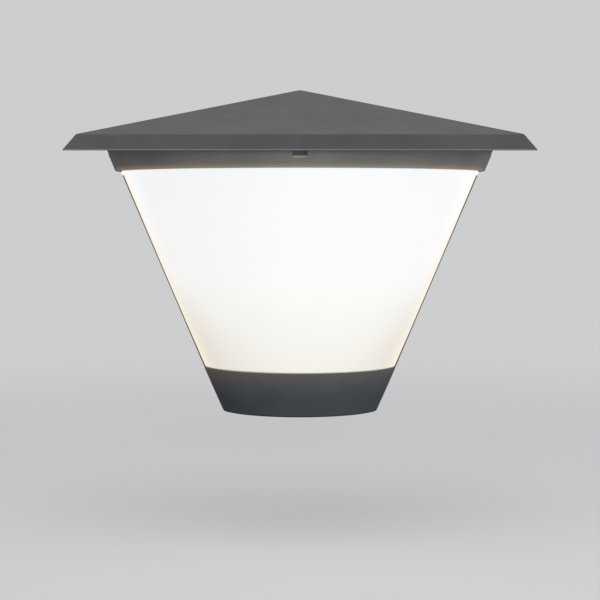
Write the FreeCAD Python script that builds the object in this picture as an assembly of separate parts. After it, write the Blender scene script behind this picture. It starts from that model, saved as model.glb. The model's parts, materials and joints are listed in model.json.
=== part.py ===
import FreeCAD, Part
import math
import os

from FreeCAD import Rotation, Vector

# Outdoor wall light: hipped roof, collar, opal half-cone front, bottom cup and a rear housing.
# The wall is the plane y = 0, the light reaches towards -y, x is level and z is up.
# The origin is the middle of the four wall-fixing holes. All lengths are in millimetres.

# Body: half a cone whose upright axis lies in the wall plane, with straight sides behind the opal front.
# Radii are those of the opal front.
shade_top_radius = 120.1
shade_bottom_radius = 66.5
shade_height = 130.5
shade_top_level = 68.3
shade_edge_depth = 22.0
body_proud = 1.0
shade_bottom_level = shade_top_level - shade_height
taper = (shade_top_radius - shade_bottom_radius) / shade_height

# Clearances and allowances used all over
overrun = 1.0
bond = 0.5
screw_fit = 0.05
screw_play = 0.3
slip = 0.3

# Screws: the larger and the smaller size
large_shank_radius = 2.0
large_head_radius = 3.5
large_head_height = 2.2
small_shank_radius = 1.5
small_head_radius = 2.7
small_head_height = 1.8
recess_width = 0.8
recess_depth = 1.0
recess_share = 0.62

# Rear housing
back_plate_thickness = 4.0
side_wall_thickness = 3.0
side_seal_thickness = 0.9
side_wall_front = shade_edge_depth - slip - side_seal_thickness
boss_radius = 4.8
ear_boss_height = 6.0
screw_tip_margin = 1.8

# Wall fixing, cable entry and back gasket
fixing_spacing_x = 120.0
fixing_spacing_z = 70.0
fixing_hole_radius = 2.75
fixing_seal_radius = 6.5
fixing_seal_thickness = 2.0
cable_radius = 3.5
grommet_neck_radius = 8.0
grommet_flange_radius = 10.5
grommet_flange_thickness = 1.5
cable_entry_rise = 22.0
gasket_inset = 4.0
gasket_width = 4.0
gasket_thickness = 1.5

# Collar with the pry slot
collar_proud = 4.3
collar_height = 9.9
collar_wall = 3.0
collar_ear_inset = 12.1
collar_ear_half_width = 7.0
ear_thickness = 3.0
slot_width = 8.9
slot_height = 2.75
slot_depth = 2.0
slot_lip_height = 1.1
slot_lip_depth = 1.0
collar_top_level = shade_top_level + collar_height
collar_inside = collar_proud - collar_wall

# Bottom cup
cup_height = 29.7
cup_wall = 2.4
cup_floor = 3.0
cup_edge_radius = 1.6
cup_ear_inset = 12.8
cup_ear_half_width = 5.0
cup_post_radius = 3.0
cup_post_inset = 0.8
cup_post_turn = 34.0
drain_radius = 2.0
drain_inset = 7.1
cup_bottom_level = shade_bottom_level - cup_height
cup_floor_level = cup_bottom_level + cup_floor
cup_inside = body_proud - cup_wall

# Cover plate over the driver
cover_drop = 4.8
cover_thickness = 1.2
cover_back = -14.0
cover_notch_margin = 6.0
cover_notch_depth = 10.0
cover_top_level = shade_bottom_level - cover_drop

# Opal front and its seals
shade_wall = 3.0
lower_seal_thickness = 0.8
seal_inset = 0.2
seal_width = 1.0
tongue_length = 4.0
tongue_wall = 2.0
tongue_root = 3.0
shade_rise = 8.2
shade_flange_height = 2.5
shade_flange_proud = 1.0
lug_height = 2.2
lug_drop = 0.5
lug_reach = 2.8
lug_proud = 0.9
upper_seal_width = 2.4
shade_lip_level = shade_top_level + shade_rise
shoulder_level = shade_bottom_level + lower_seal_thickness

# Roof
roof_side_overhang = 12.0
roof_front_overhang = 14.5
roof_wall_gap = 1.0
rim_lift = 0.6
rim_climb = 4.0
bevel_height = 9.3
bevel_inset = 7.0
roof_rise = 35.2
roof_wall = 3.0
rim_level = collar_top_level + rim_lift
bevel_level = rim_level + bevel_height
apex_level = bevel_level + roof_rise
collar_top_radius = shade_top_radius + taper * collar_height + collar_proud
roof_width = 2 * (collar_top_radius + roof_side_overhang)
roof_depth = collar_top_radius + roof_front_overhang
light_reach = roof_width

# Soffit plate with its coved skirt
soffit_thickness = 1.5
soffit_margin = 0.4
skirt_land = 0.8
cove_radius = 4.8
rear_skirt_thickness = 3.0
soffit_level = collar_top_level + skirt_land + cove_radius
soffit_top_level = soffit_level + soffit_thickness
roof_boss_radius = 4.0
side_boss_inset = 42.0
side_boss_turn = 26.0
front_boss_inset = 15.0
front_boss_turn = 58.0
soffit_screw_length = 12.0

# Reflector under the soffit
reflector_thickness = 1.0
reflector_back = -21.5
reflector_level = soffit_level - reflector_thickness

# Spring clips on the housing and the catches under the roof
clip_inset = 27.1
clip_width = 8.0
clip_thickness = 0.6
clip_length = 33.0
clip_tip_length = 7.0
clip_nose_length = 3.5
clip_screw_end = 7.0
clip_nose_reach = 3.6
clip_tip_gap = 0.6
clip_tip_drop = 1.2
catch_width = 10.0
catch_thickness = 1.5
catch_gap = 0.4
catch_flange_length = 11.0
catch_hook_reach = 2.0
catch_hook_height = 2.0
hook_gap = 4.0
clip_x = shade_top_radius - clip_inset
clip_tip_level = collar_top_level - clip_tip_drop
clip_nose_level = clip_tip_level - clip_tip_length
clip_bend_level = clip_nose_level - clip_nose_length
clip_foot_level = clip_tip_level - clip_length
clip_screw_level = clip_foot_level + clip_screw_end
catch_bottom_level = clip_nose_level - hook_gap - catch_hook_height

# Gear tray, board and chips behind the light space
tray_thickness = 1.2
tray_end_gap = 2.2
tray_post_radius = 4.0
tray_post_inset = 30.0
tray_post_top_end = 14.0
tray_post_low_end = 10.0
board_thickness = 1.6
board_inset = 40.0
board_low_end = 10.0
board_top_end = 6.0
chip_size = 3.0
chip_thickness = 0.8
chip_pitch = 18.0
chip_row_end = 8.0
chip_rows = 6
board_screw_inset = 6.0
board_screw_end = 8.0
board_screw_gap = 0.5
plug_half_width = 6.0
plug_height = 8.0
plug_rise = 10.0
plug_depth = 3.0
board_front_depth = shade_edge_depth - board_screw_gap - small_head_height
tray_back = board_front_depth - board_thickness - tray_thickness
tray_bottom_level = shade_bottom_level + tray_end_gap
tray_top_level = shade_top_level - tray_end_gap
board_bottom_level = tray_bottom_level + board_low_end
board_top_level = tray_top_level - board_top_end
plug_top_level = board_bottom_level + plug_rise

# Terminal block, clamp and earth point on the back plate
pole_pitch = 10.0
pole_count = 3
block_height = 18.0
block_depth = 11.0
block_rise = 41.0
block_edge = 1.0
terminal_screw_radius = 1.7
terminal_screw_height = 2.5
terminal_screw_sink = 4.0
terminal_row_inset = 4.5
entry_depth = 5.0
clamp_rise = 19.0
clamp_post_radius = 3.2
clamp_post_x = 9.0
clamp_height = 8.0
clamp_thickness = 3.0
clamp_end = 4.5
earth_x = 36.0
earth_drop = 1.0
earth_boss_height = 4.0
tag_thickness = 0.8
tag_radius = 4.0
tag_tongue_width = 3.0
tag_tongue_length = 9.0
washer_thickness = 1.0
washer_radius = 4.5
block_top_level = tray_bottom_level + block_rise
clamp_level = block_top_level + clamp_rise
cable_entry_level = clamp_level + cable_entry_rise
earth_level = block_top_level - earth_drop

# Driver in the cup
driver_back = -13.0
driver_front_gap = 14.0
driver_end_gap = 4.7
driver_top_gap = 2.7
driver_edge = 1.5
driver_foot_length = 8.0
driver_foot_width = 8.0
driver_foot_thickness = 2.0
driver_screw_reach = 2.0
cup_room = shade_bottom_radius - taper * (cup_height - cup_floor) + cup_inside
driver_depth = cup_room - driver_front_gap + driver_back
driver_height = cover_top_level - cover_thickness - driver_top_gap - cup_floor_level
driver_foot_front = -driver_back + driver_depth / 2 + driver_foot_width / 2
driver_reach = math.sqrt(cup_room ** 2 - driver_foot_front ** 2) - driver_end_gap
driver_half_length = driver_reach - driver_foot_length

# Leads inside the light
mains_lead_radius = 1.0
led_lead_radius = 0.7
bend_share = 0.45


def radius_at(level):
    """Outside radius of the opal front at this height."""
    return shade_top_radius - taper * (shade_top_level - level)


def round_cone(low, high, outset):
    """Half a solid cone of the body's taper, this much larger in radius than the opal front."""
    lower = radius_at(low) + outset
    upper = radius_at(high) + outset
    cone = Part.makeCone(lower, upper, high - low, Vector(0, 0, low), Vector(0, 0, 1), 180)
    cone.rotate(Vector(0, 0, 0), Vector(0, 0, 1), 180)
    return cone


def round_ring(low, high, inside, outside):
    """Half-round wall of the body's taper between two outsets."""
    core = round_cone(low - overrun, high + overrun, inside)
    return round_cone(low, high, outside).cut(core)


def side_at(level, outset):
    """How far out the body's side is at this height, an outset away from the opal front's side edges."""
    return math.sqrt((radius_at(level) + outset) ** 2 - shade_edge_depth ** 2)


def half_cone(low, high, outset):
    """The same half cone, its sides straight back to the wall from the opal front's side edges."""
    front = round_cone(low, high, outset).common(slab_y((-shade_edge_depth, -light_reach), low, high))
    low_half = side_at(low, outset)
    high_half = side_at(high, outset)
    corners = [(-low_half, low), (low_half, low), (high_half, high), (-high_half, high)]
    sides = prism([Vector(x, 0, z) for x, z in corners], Vector(0, -shade_edge_depth, 0))
    return fused([front, sides])


def half_ring(low, high, inside, outside):
    """Wall of the body's form between two outsets."""
    core = half_cone(low - overrun, high + overrun, inside)
    return half_cone(low, high, outside).cut(core)


def block(x_range, y_range, z_range):
    """Box between pairs of limits, given in any order."""
    low = Vector(min(x_range), min(y_range), min(z_range))
    high = Vector(max(x_range), max(y_range), max(z_range))
    size = high - low
    return Part.makeBox(size.x, size.y, size.z, low)


def slab_y(y_range, low, high):
    """Block wider than the light, between two depths and two heights."""
    return block((-light_reach, light_reach), y_range, (low, high))


def rod(start, end, radius):
    """Cylinder from one point to another."""
    way = end - start
    return Part.makeCylinder(radius, way.Length, start, way)


def fused(shapes):
    """All the shapes as one, without the seams between flush faces."""
    return shapes[0].multiFuse(shapes[1:]).removeSplitter()


def mirrored(shape):
    """The same shape on the other side of the middle plane."""
    return shape.mirror(Vector(0, 0, 0), Vector(1, 0, 0))


def both_sides(shape):
    """Two separate solids, left and right."""
    return Part.makeCompound([shape, mirrored(shape)])


def prism(points, way):
    """Solid pushed from a flat outline of straight lines along a vector."""
    outline = Part.makePolygon(list(points) + [points[0]])
    return Part.Face(outline).extrude(way)


def screw(seat, head_way, length, large):
    """Pan-head screw: its head stands on the seat and its shank goes the other way."""
    shank_radius = large_shank_radius if large else small_shank_radius
    head_radius = large_head_radius if large else small_head_radius
    head_height = large_head_height if large else small_head_height
    head = Part.makeCylinder(head_radius, head_height)
    shank = Part.makeCylinder(shank_radius, length, Vector(0, 0, -length))
    arm = head_radius * recess_share
    floor = head_height - recess_depth
    top = head_height + overrun
    half = recess_width / 2
    cross = block((-arm, arm), (-half, half), (floor, top))
    cross = cross.fuse(block((-half, half), (-arm, arm), (floor, top)))
    body = fused([head, shank]).cut(cross)
    body.Placement = FreeCAD.Placement(seat, Rotation(Vector(0, 0, 1), head_way))
    return body


def screw_hole(seat, way, length, large, play):
    """Round hole for a shank, from the seat along a direction."""
    radius = (large_shank_radius if large else small_shank_radius) + play
    return Part.makeCylinder(radius, length, seat, way)


outward = Vector(0, -1, 0)
inward = Vector(0, 1, 0)
upward = Vector(0, 0, 1)
downward = Vector(0, 0, -1)
plate_front = -back_plate_thickness
ear_seat = plate_front - ear_boss_height
tray_front = -tray_back - tray_thickness
board_front = tray_front - board_thickness


def each_corner(places):
    """Places given for the right side, with their twins on the left."""
    return [(side * x, other) for x, other in places for side in (1, -1)]


def fixing_places():
    """The four wall-fixing holes."""
    half_x = fixing_spacing_x / 2
    half_z = fixing_spacing_z / 2
    return [(sx * half_x, sz * half_z) for sx in (1, -1) for sz in (1, -1)]


def collar_boss_level():
    """Height of the collar's two screws."""
    return shade_top_level + collar_height / 2


def collar_ear_x():
    """How far out the collar's screws stand."""
    return radius_at(collar_boss_level()) - collar_ear_inset


def cup_boss_level():
    """Height of the cup's two screws."""
    return (cup_floor_level + cover_top_level - cover_thickness) / 2


def cup_ear_x():
    """How far out the cup's screws stand."""
    return radius_at(cup_boss_level()) - cup_ear_inset


def tray_post_places():
    """The tray's right-hand posts, as (x, z)."""
    levels = (tray_top_level - tray_post_top_end, tray_bottom_level + tray_post_low_end)
    return [(radius_at(level) - tray_post_inset, level) for level in levels]


def gasket_outline(inset):
    """Four corners of the gasket's path in the wall plane, this far inside the body's outline."""
    low = cup_floor_level + inset
    high = collar_top_level - inset
    low_half = side_at(low, -inset)
    high_half = side_at(high, -inset)
    corners = [(-low_half, low), (low_half, low), (high_half, high), (-high_half, high)]
    return [Vector(x, 0, z) for x, z in corners]


def gasket_loop(thickness):
    """Closed flat strip against the wall."""
    way = Vector(0, -thickness, 0)
    outer = prism(gasket_outline(gasket_inset), way)
    inner = prism(gasket_outline(gasket_inset + gasket_width), way)
    return outer.cut(inner)


def housing_walls():
    """Back plate in three heights, and the side walls beside the light space."""
    plate_slab = slab_y((0, plate_front), cup_bottom_level, collar_top_level)
    top = half_cone(shade_top_level, collar_top_level, collar_inside - slip).common(plate_slab)
    low_level = cup_floor_level + slip
    low = half_cone(low_level, shade_bottom_level, cup_inside - slip).common(plate_slab)
    middle = half_cone(shade_bottom_level, shade_top_level, body_proud)
    middle = middle.common(slab_y((0, -side_wall_front), shade_bottom_level, shade_top_level))
    inside = body_proud - side_wall_thickness
    core = half_cone(shade_bottom_level - overrun, shade_top_level + overrun, inside)
    core = core.common(slab_y((plate_front, -light_reach), cup_bottom_level, collar_top_level))
    notch_low = shade_top_level - lug_drop - lug_height - slip
    notch_back = -(shade_edge_depth - lug_reach - slip)
    notch = slab_y((-side_wall_front - overrun, notch_back), notch_low, shade_top_level + overrun)
    return fused([middle.cut(core).cut(notch), top, low])


def housing_boss(x, z, radius, height):
    """Round boss on the front of the back plate."""
    start = Vector(x, plate_front + bond, z)
    return rod(start, Vector(x, plate_front - height, z), radius)


def housing_boss_list():
    """Every boss on the back plate, as (x, z, radius, height, large screw)."""
    bosses = []
    for x, z in each_corner([(collar_ear_x(), collar_boss_level())]):
        bosses.append((x, z, boss_radius, ear_boss_height, True))
    for x, z in each_corner([(cup_ear_x(), cup_boss_level())]):
        bosses.append((x, z, boss_radius, ear_boss_height, True))
    for x, z in each_corner(tray_post_places()):
        bosses.append((x, z, tray_post_radius, tray_back - back_plate_thickness, False))
    for x, z in each_corner([(clamp_post_x, clamp_level)]):
        bosses.append((x, z, clamp_post_radius, 2 * cable_radius, False))
    bosses.append((earth_x, earth_level, boss_radius, earth_boss_height, True))
    return bosses


def rear_housing():
    """Cast back plate with its side walls, bosses and holes."""
    bosses = housing_boss_list()
    parts = [housing_walls()]
    parts += [housing_boss(x, z, radius, height) for x, z, radius, height, _ in bosses]
    body = fused(parts)
    cuts = [gasket_loop(gasket_thickness)]
    for x, z, _, height, large in bosses:
        seat = Vector(x, plate_front - height - overrun, z)
        reach = height + overrun + back_plate_thickness - screw_tip_margin
        cuts.append(screw_hole(seat, inward, reach, large, screw_fit))
    for x, z in each_corner([(clip_x, clip_screw_level)]) + terminal_fixing_places():
        seat = Vector(x, plate_front - overrun, z)
        reach = overrun + back_plate_thickness - screw_tip_margin
        cuts.append(screw_hole(seat, inward, reach, False, screw_fit))
    for x, z in fixing_places():
        cuts.append(rod(Vector(x, overrun, z), Vector(x, plate_front - overrun, z), fixing_hole_radius))
    entry = Vector(0, overrun, cable_entry_level)
    through = Vector(0, plate_front - overrun, cable_entry_level)
    cuts.append(rod(entry, through, grommet_neck_radius + screw_fit))
    sink_end = Vector(0, -grommet_flange_thickness, cable_entry_level)
    cuts.append(rod(entry, sink_end, grommet_flange_radius + slip))
    for cut in cuts:
        body = body.cut(cut)
    return body


def wall_gasket():
    """Foam loop that lies in the groove and meets the wall."""
    return gasket_loop(gasket_thickness)


def fixing_seals():
    """Rubber washers round the wall screws, on the plate's front."""
    rings = []
    for x, z in fixing_places():
        start = Vector(x, plate_front, z)
        end = Vector(x, plate_front - fixing_seal_thickness, z)
        hole = rod(start - outward * overrun, end + outward * overrun, fixing_hole_radius + slip)
        rings.append(rod(start, end, fixing_seal_radius).cut(hole))
    return Part.makeCompound(rings)


def cable_grommet():
    """Rubber grommet whose groove holds the plate's edge."""
    back = Vector(0, 0, cable_entry_level)
    neck_back = Vector(0, -grommet_flange_thickness, cable_entry_level)
    neck_front = Vector(0, plate_front, cable_entry_level)
    front = Vector(0, plate_front - grommet_flange_thickness, cable_entry_level)
    body = fused([
        rod(back, neck_back, grommet_flange_radius),
        rod(back, front, grommet_neck_radius),
        rod(neck_front, front, grommet_flange_radius),
    ])
    return body.cut(rod(back - outward * overrun, front + outward * overrun, cable_radius))


def clamp_seat():
    """Depth of the clamp posts' front ends."""
    return plate_front - 2 * cable_radius


def cable_clamp():
    """Bar that holds the supply cable down between two posts."""
    half = clamp_post_x + clamp_end
    depth = (clamp_seat(), clamp_seat() - clamp_thickness)
    heights = (clamp_level - clamp_height / 2, clamp_level + clamp_height / 2)
    bar = block((-half, half), depth, heights)
    for x, z in each_corner([(clamp_post_x, clamp_level)]):
        seat = Vector(x, clamp_seat() - clamp_thickness - overrun, z)
        bar = bar.cut(screw_hole(seat, inward, clamp_thickness + 2 * overrun, False, screw_play))
    return bar


def cable_clamp_screws():
    """The clamp's two screws."""
    seat_y = clamp_seat() - clamp_thickness
    length = clamp_thickness + 2 * cable_radius
    places = each_corner([(clamp_post_x, clamp_level)])
    return Part.makeCompound([screw(Vector(x, seat_y, z), outward, length, False) for x, z in places])


def terminal_fixing_places():
    """The block's two holding screws stand between its poles."""
    middle = block_top_level - block_height / 2
    half = pole_pitch / 2
    return [(half, middle), (-half, middle)]


def pole_centres():
    """Where the poles stand from left to right."""
    first = -pole_pitch * (pole_count - 1) / 2
    return [first + pole_pitch * number for number in range(pole_count)]


def terminal_screw_places():
    """Two clamping screws for each pole."""
    low = block_top_level - block_height + terminal_row_inset
    high = block_top_level - terminal_row_inset
    return [(x, z) for x in pole_centres() for z in (low, high)]


def terminal_front():
    """Depth of the block's front face."""
    return plate_front - block_depth


def terminal_block():
    """Moulded three-pole block with its screw wells and wire entries."""
    half = pole_pitch * pole_count / 2
    bottom = block_top_level - block_height
    body = block((-half, half), (plate_front, terminal_front()), (bottom, block_top_level))
    upright = [edge for edge in body.Edges if abs(edge.tangentAt(edge.FirstParameter).z) > block_edge / 2]
    body = body.makeChamfer(block_edge, upright)
    for x, z in terminal_screw_places():
        front = Vector(x, terminal_front() - overrun, z)
        floor = Vector(x, terminal_front() + terminal_screw_sink, z)
        body = body.cut(rod(front, floor, terminal_screw_radius + screw_fit))
    for x in pole_centres():
        level = plate_front - block_depth / 2
        for end, way in ((bottom, upward), (block_top_level, downward)):
            mouth = Vector(x, level, end) - way * overrun
            hole_length = entry_depth + overrun
            body = body.cut(Part.makeCylinder(mains_lead_radius + screw_fit, hole_length, mouth, way))
    for x, z in terminal_fixing_places():
        seat_y = plate_front - block_depth / 2
        mouth = Vector(x, terminal_front() - overrun, z)
        well = rod(mouth, Vector(x, seat_y, z), small_head_radius + screw_play)
        hole = screw_hole(Vector(x, seat_y - overrun, z), inward, block_depth, False, screw_play)
        body = body.cut(well).cut(hole)
    return body


def terminal_screws():
    """Grub screws that clamp the wires."""
    screws = []
    for x, z in terminal_screw_places():
        floor_y = terminal_front() + terminal_screw_sink
        top_y = floor_y - terminal_screw_height
        pin = rod(Vector(x, floor_y, z), Vector(x, top_y, z), terminal_screw_radius)
        half = recess_width / 2
        reach = terminal_screw_radius * recess_share
        width = (x - reach, x + reach)
        groove = block(width, (top_y - overrun, top_y + recess_depth), (z - half, z + half))
        screws.append(pin.cut(groove))
    return Part.makeCompound(screws)


def terminal_fixings():
    """The two screws that hold the block to the back plate."""
    seat_y = plate_front - block_depth / 2
    length = block_depth / 2 + back_plate_thickness - screw_tip_margin
    places = terminal_fixing_places()
    return Part.makeCompound([screw(Vector(x, seat_y, z), outward, length, False) for x, z in places])


def earth_seat():
    """Depth of the earth boss's front end."""
    return plate_front - earth_boss_height


def earth_tag():
    """Ring terminal under the earth screw, with its tongue downwards."""
    back = Vector(earth_x, earth_seat(), earth_level)
    front = back + outward * tag_thickness
    half = tag_tongue_width / 2
    width = (earth_x - half, earth_x + half)
    tongue = block(width, (back.y, front.y), (earth_level, earth_level - tag_tongue_length))
    body = fused([rod(back, front, tag_radius), tongue])
    hole = rod(back - outward * overrun, front + outward * overrun, large_shank_radius + screw_play)
    return body.cut(hole)


def earth_washer():
    """Plain washer between the tag and the screw's head."""
    back = Vector(earth_x, earth_seat() - tag_thickness, earth_level)
    front = back + outward * washer_thickness
    hole = rod(back - outward * overrun, front + outward * overrun, large_shank_radius + screw_play)
    return rod(back, front, washer_radius).cut(hole)


def earth_screw():
    """Earth screw in its boss."""
    stack = tag_thickness + washer_thickness
    seat = Vector(earth_x, earth_seat() - stack, earth_level)
    length = stack + earth_boss_height + back_plate_thickness - screw_tip_margin
    return screw(seat, outward, length, True)


def ear(x, half_width, low, high, outset):
    """Lug that joins a half-round wall and lies on the front of a housing boss."""
    depth = (ear_seat, ear_seat - ear_thickness)
    wide = block((x - half_width, light_reach), depth, (low, high))
    lug = wide.common(half_cone(low, high, outset + bond))
    seat = Vector(x, ear_seat - ear_thickness - overrun, (low + high) / 2)
    return lug.cut(screw_hole(seat, inward, ear_thickness + 2 * overrun, True, screw_play))


def ear_screws(x, level):
    """Screws through a pair of ears."""
    length = ear_thickness + ear_boss_height + back_plate_thickness - screw_tip_margin
    seat = Vector(x, ear_seat - ear_thickness, level)
    twin = Vector(-x, ear_seat - ear_thickness, level)
    return Part.makeCompound([screw(seat, outward, length, True), screw(twin, outward, length, True)])


def pry_slot():
    """Pocket at the top of the collar's front, with a chamfer under its mouth."""
    half = slot_width / 2
    face = -(radius_at(collar_top_level) + collar_proud)
    low = collar_top_level - slot_height
    face_low = -(radius_at(low) + collar_proud)
    pocket = block((-half, half), (face - overrun, face_low + slot_depth), (low, collar_top_level + overrun))
    lip_low = low - slot_lip_height
    lip_face = -(radius_at(lip_low) + collar_proud)
    corners = [
        Vector(-half, lip_face, lip_low),
        Vector(-half, lip_face + slot_lip_depth, low),
        Vector(-half, face - overrun, low),
        Vector(-half, face - overrun, lip_low),
    ]
    return pocket.fuse(prism(corners, Vector(slot_width, 0, 0)))


def collar():
    """Half-round band under the roof."""
    wall = half_ring(shade_top_level, collar_top_level, collar_inside, collar_proud)
    lug = ear(collar_ear_x(), collar_ear_half_width, shade_top_level, collar_top_level, collar_inside)
    return fused([wall, lug, mirrored(lug)]).cut(pry_slot())


def collar_screws():
    """The collar's two screws."""
    return ear_screws(collar_ear_x(), collar_boss_level())


def cup_post_places():
    """Posts in the cup that carry the cover plate."""
    turn = math.radians(cup_post_turn)
    reach = cup_room - cup_post_inset
    return each_corner([(reach * math.sin(turn), -reach * math.cos(turn))])


def bottom_cup():
    """Half-round cup with ears at its back and posts inside."""
    outer = half_cone(cup_bottom_level, shade_bottom_level, body_proud)
    rim = [edge for edge in outer.Edges if abs(edge.CenterOfMass.z - cup_bottom_level) < slip]
    front_rim = [edge for edge in rim if edge.CenterOfMass.y < -slip]
    outer = outer.makeFillet(min(cup_edge_radius, cup_floor), front_rim)
    hollow = half_cone(cup_floor_level, shade_bottom_level + overrun, cup_inside)
    shell = outer.cut(hollow)
    boss_level = cup_boss_level()
    low = boss_level - cup_ear_half_width
    high = boss_level + cup_ear_half_width
    lug = ear(cup_ear_x(), cup_ear_half_width, low, high, cup_inside)
    posts = []
    post_top = cover_top_level - cover_thickness
    for x, y in cup_post_places():
        posts.append(rod(Vector(x, y, cup_floor_level - bond), Vector(x, y, post_top), cup_post_radius))
    body = fused([shell, lug, mirrored(lug)] + posts)
    for x, y in cup_post_places():
        top = Vector(x, y, post_top + overrun)
        length = post_top - cup_floor_level + overrun
        body = body.cut(screw_hole(top, downward, length, False, screw_fit))
    for x in (driver_foot_x(), -driver_foot_x()):
        top = Vector(x, driver_middle_y(), cup_floor_level + overrun)
        body = body.cut(screw_hole(top, downward, driver_screw_reach + overrun, False, screw_fit))
    drain_y = drain_inset - cup_room
    drain_top = Vector(0, drain_y, cup_floor_level + overrun)
    drain = rod(drain_top, Vector(0, drain_y, cup_bottom_level - overrun), drain_radius)
    return body.cut(drain)


def cup_screws():
    """The cup's two screws."""
    return ear_screws(cup_ear_x(), cup_boss_level())


def cup_cover():
    """White plate over the driver, notched at the back for the leads."""
    low = cover_top_level - cover_thickness
    disc = half_cone(low, cover_top_level, cup_inside - slip)
    keep = slab_y((cover_back, -light_reach), low, cover_top_level)
    half = mains_lead_end_x() + cover_notch_margin
    notch_front = cover_back - cover_notch_depth
    heights = (low - overrun, cover_top_level + overrun)
    notch = block((-half, half), (cover_back + overrun, notch_front), heights)
    plate = disc.common(keep).cut(notch)
    for x, y in cup_post_places():
        top = Vector(x, y, cover_top_level + overrun)
        plate = plate.cut(screw_hole(top, downward, cover_thickness + 2 * overrun, False, screw_play))
    return plate


def cup_cover_screws():
    """The cover plate's two screws."""
    length = cover_thickness + cup_post_radius * 2
    seats = [Vector(x, y, cover_top_level) for x, y in cup_post_places()]
    return Part.makeCompound([screw(seat, upward, length, False) for seat in seats])


def driver_middle_y():
    """Depth of the driver's middle."""
    return driver_back - driver_depth / 2


def driver_foot_x():
    """Where the driver's feet are screwed down."""
    return driver_half_length + driver_foot_length / 2


def driver_top_level():
    """Top face of the driver, which stands on the cup's floor."""
    return cup_floor_level + driver_height


def led_driver():
    """Closed driver case with a foot at each end."""
    depth = (driver_back, driver_back - driver_depth)
    heights = (cup_floor_level, driver_top_level())
    case = block((-driver_half_length, driver_half_length), depth, heights)
    upper = [edge for edge in case.Edges if edge.CenterOfMass.z > cup_floor_level + overrun]
    case = case.makeFillet(driver_edge, upper)
    middle = driver_middle_y()
    foot_depth = (middle - driver_foot_width / 2, middle + driver_foot_width / 2)
    foot_top = cup_floor_level + driver_foot_thickness
    foot = block((-driver_reach, driver_reach), foot_depth, (cup_floor_level, foot_top))
    body = fused([case, foot])
    for x in (driver_foot_x(), -driver_foot_x()):
        top = Vector(x, middle, foot_top + overrun)
        body = body.cut(screw_hole(top, downward, driver_foot_thickness + 2 * overrun, False, screw_play))
    return body


def driver_screws():
    """Screws through the driver's feet."""
    level = cup_floor_level + driver_foot_thickness
    length = driver_foot_thickness + driver_screw_reach
    seats = [Vector(x, driver_middle_y(), level) for x in (driver_foot_x(), -driver_foot_x())]
    return Part.makeCompound([screw(seat, upward, length, False) for seat in seats])


def tray_window():
    """Opening in the tray that the board's plug reaches through."""
    half = plug_half_width + slip
    low = plug_top_level - plug_height - slip
    return block((-half, half), (-tray_back + overrun, tray_front - overrun), (low, plug_top_level + slip))


def gear_tray():
    """White plate across the housing, behind the light space."""
    outset = body_proud - side_wall_thickness - slip
    wide = half_cone(tray_bottom_level, tray_top_level, outset)
    plate = wide.common(slab_y((-tray_back, tray_front), tray_bottom_level, tray_top_level))
    for x, z in each_corner(tray_post_places()):
        seat = Vector(x, tray_front - overrun, z)
        plate = plate.cut(screw_hole(seat, inward, tray_thickness + 2 * overrun, False, screw_play))
    for x, z in board_screw_places():
        seat = Vector(x, tray_front - overrun, z)
        plate = plate.cut(screw_hole(seat, inward, tray_thickness + 2 * overrun, False, screw_fit))
    return plate.cut(tray_window())


def tray_screws():
    """Screws through the tray into its posts."""
    length = tray_thickness + tray_back - screw_tip_margin
    places = each_corner(tray_post_places())
    return Part.makeCompound([screw(Vector(x, tray_front, z), outward, length, False) for x, z in places])


def board_half_width(level):
    """Half the board's width at this height."""
    return radius_at(level) - board_inset


def board_screw_places():
    """A screw near each corner of the board."""
    low = board_bottom_level + board_screw_end
    high = board_top_level - board_screw_end
    places = [(board_half_width(level) - board_screw_inset, level) for level in (low, high)]
    return each_corner(places)


def led_board():
    """Light board on the tray's front."""
    low = board_half_width(board_bottom_level)
    high = board_half_width(board_top_level)
    bottom = board_bottom_level
    top = board_top_level
    corners = [(-low, bottom), (low, bottom), (high, top), (-high, top)]
    board = prism([Vector(x, tray_front, z) for x, z in corners], outward * board_thickness)
    for x, z in board_screw_places():
        seat = Vector(x, board_front - overrun, z)
        board = board.cut(screw_hole(seat, inward, board_thickness + 2 * overrun, False, screw_play))
    return board


def chip_places():
    """Rows of chips, as many in a row as its width takes."""
    places = []
    row_pitch = (board_top_level - board_bottom_level - 2 * chip_row_end) / (chip_rows - 1)
    for row in range(chip_rows):
        level = board_bottom_level + chip_row_end + row * row_pitch
        room = board_half_width(level) - chip_size - board_screw_inset * 2
        count = 2 * int(room / chip_pitch) + 1
        places += [((number - (count - 1) / 2) * chip_pitch, level) for number in range(count)]
    return places


def led_chips():
    """Light chips on the board."""
    half = chip_size / 2
    depth = (board_front, board_front - chip_thickness)
    chips = [block((x - half, x + half), depth, (z - half, z + half)) for x, z in chip_places()]
    return Part.makeCompound(chips)


def board_screws():
    """Screws that hold the board to the tray."""
    length = board_thickness + tray_thickness
    places = board_screw_places()
    return Part.makeCompound([screw(Vector(x, board_front, z), outward, length, False) for x, z in places])


def board_plug():
    """Plug on the board's back, in the tray's window."""
    low = plug_top_level - plug_height
    depth = (tray_front, -tray_back + plug_depth)
    return block((-plug_half_width, plug_half_width), depth, (low, plug_top_level))


def side_seals():
    """Strips between the opal front's side edges and the side walls."""
    low = shade_bottom_level
    high = shade_top_level - lug_drop - lug_height - slip
    ring = half_ring(low, high, -shade_wall + seal_width, -seal_inset)
    back = -side_wall_front
    strips = ring.common(slab_y((back, back - side_seal_thickness), low, high))
    return Part.makeCompound(strips.Solids)


def lower_seal():
    """Half-round strip between the cup's top edge and the opal front's shoulder."""
    ring = round_ring(shade_bottom_level, shoulder_level, -seal_inset - seal_width, -seal_inset)
    return ring.common(slab_y((-shade_edge_depth, -light_reach), shade_bottom_level, shoulder_level))


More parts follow.
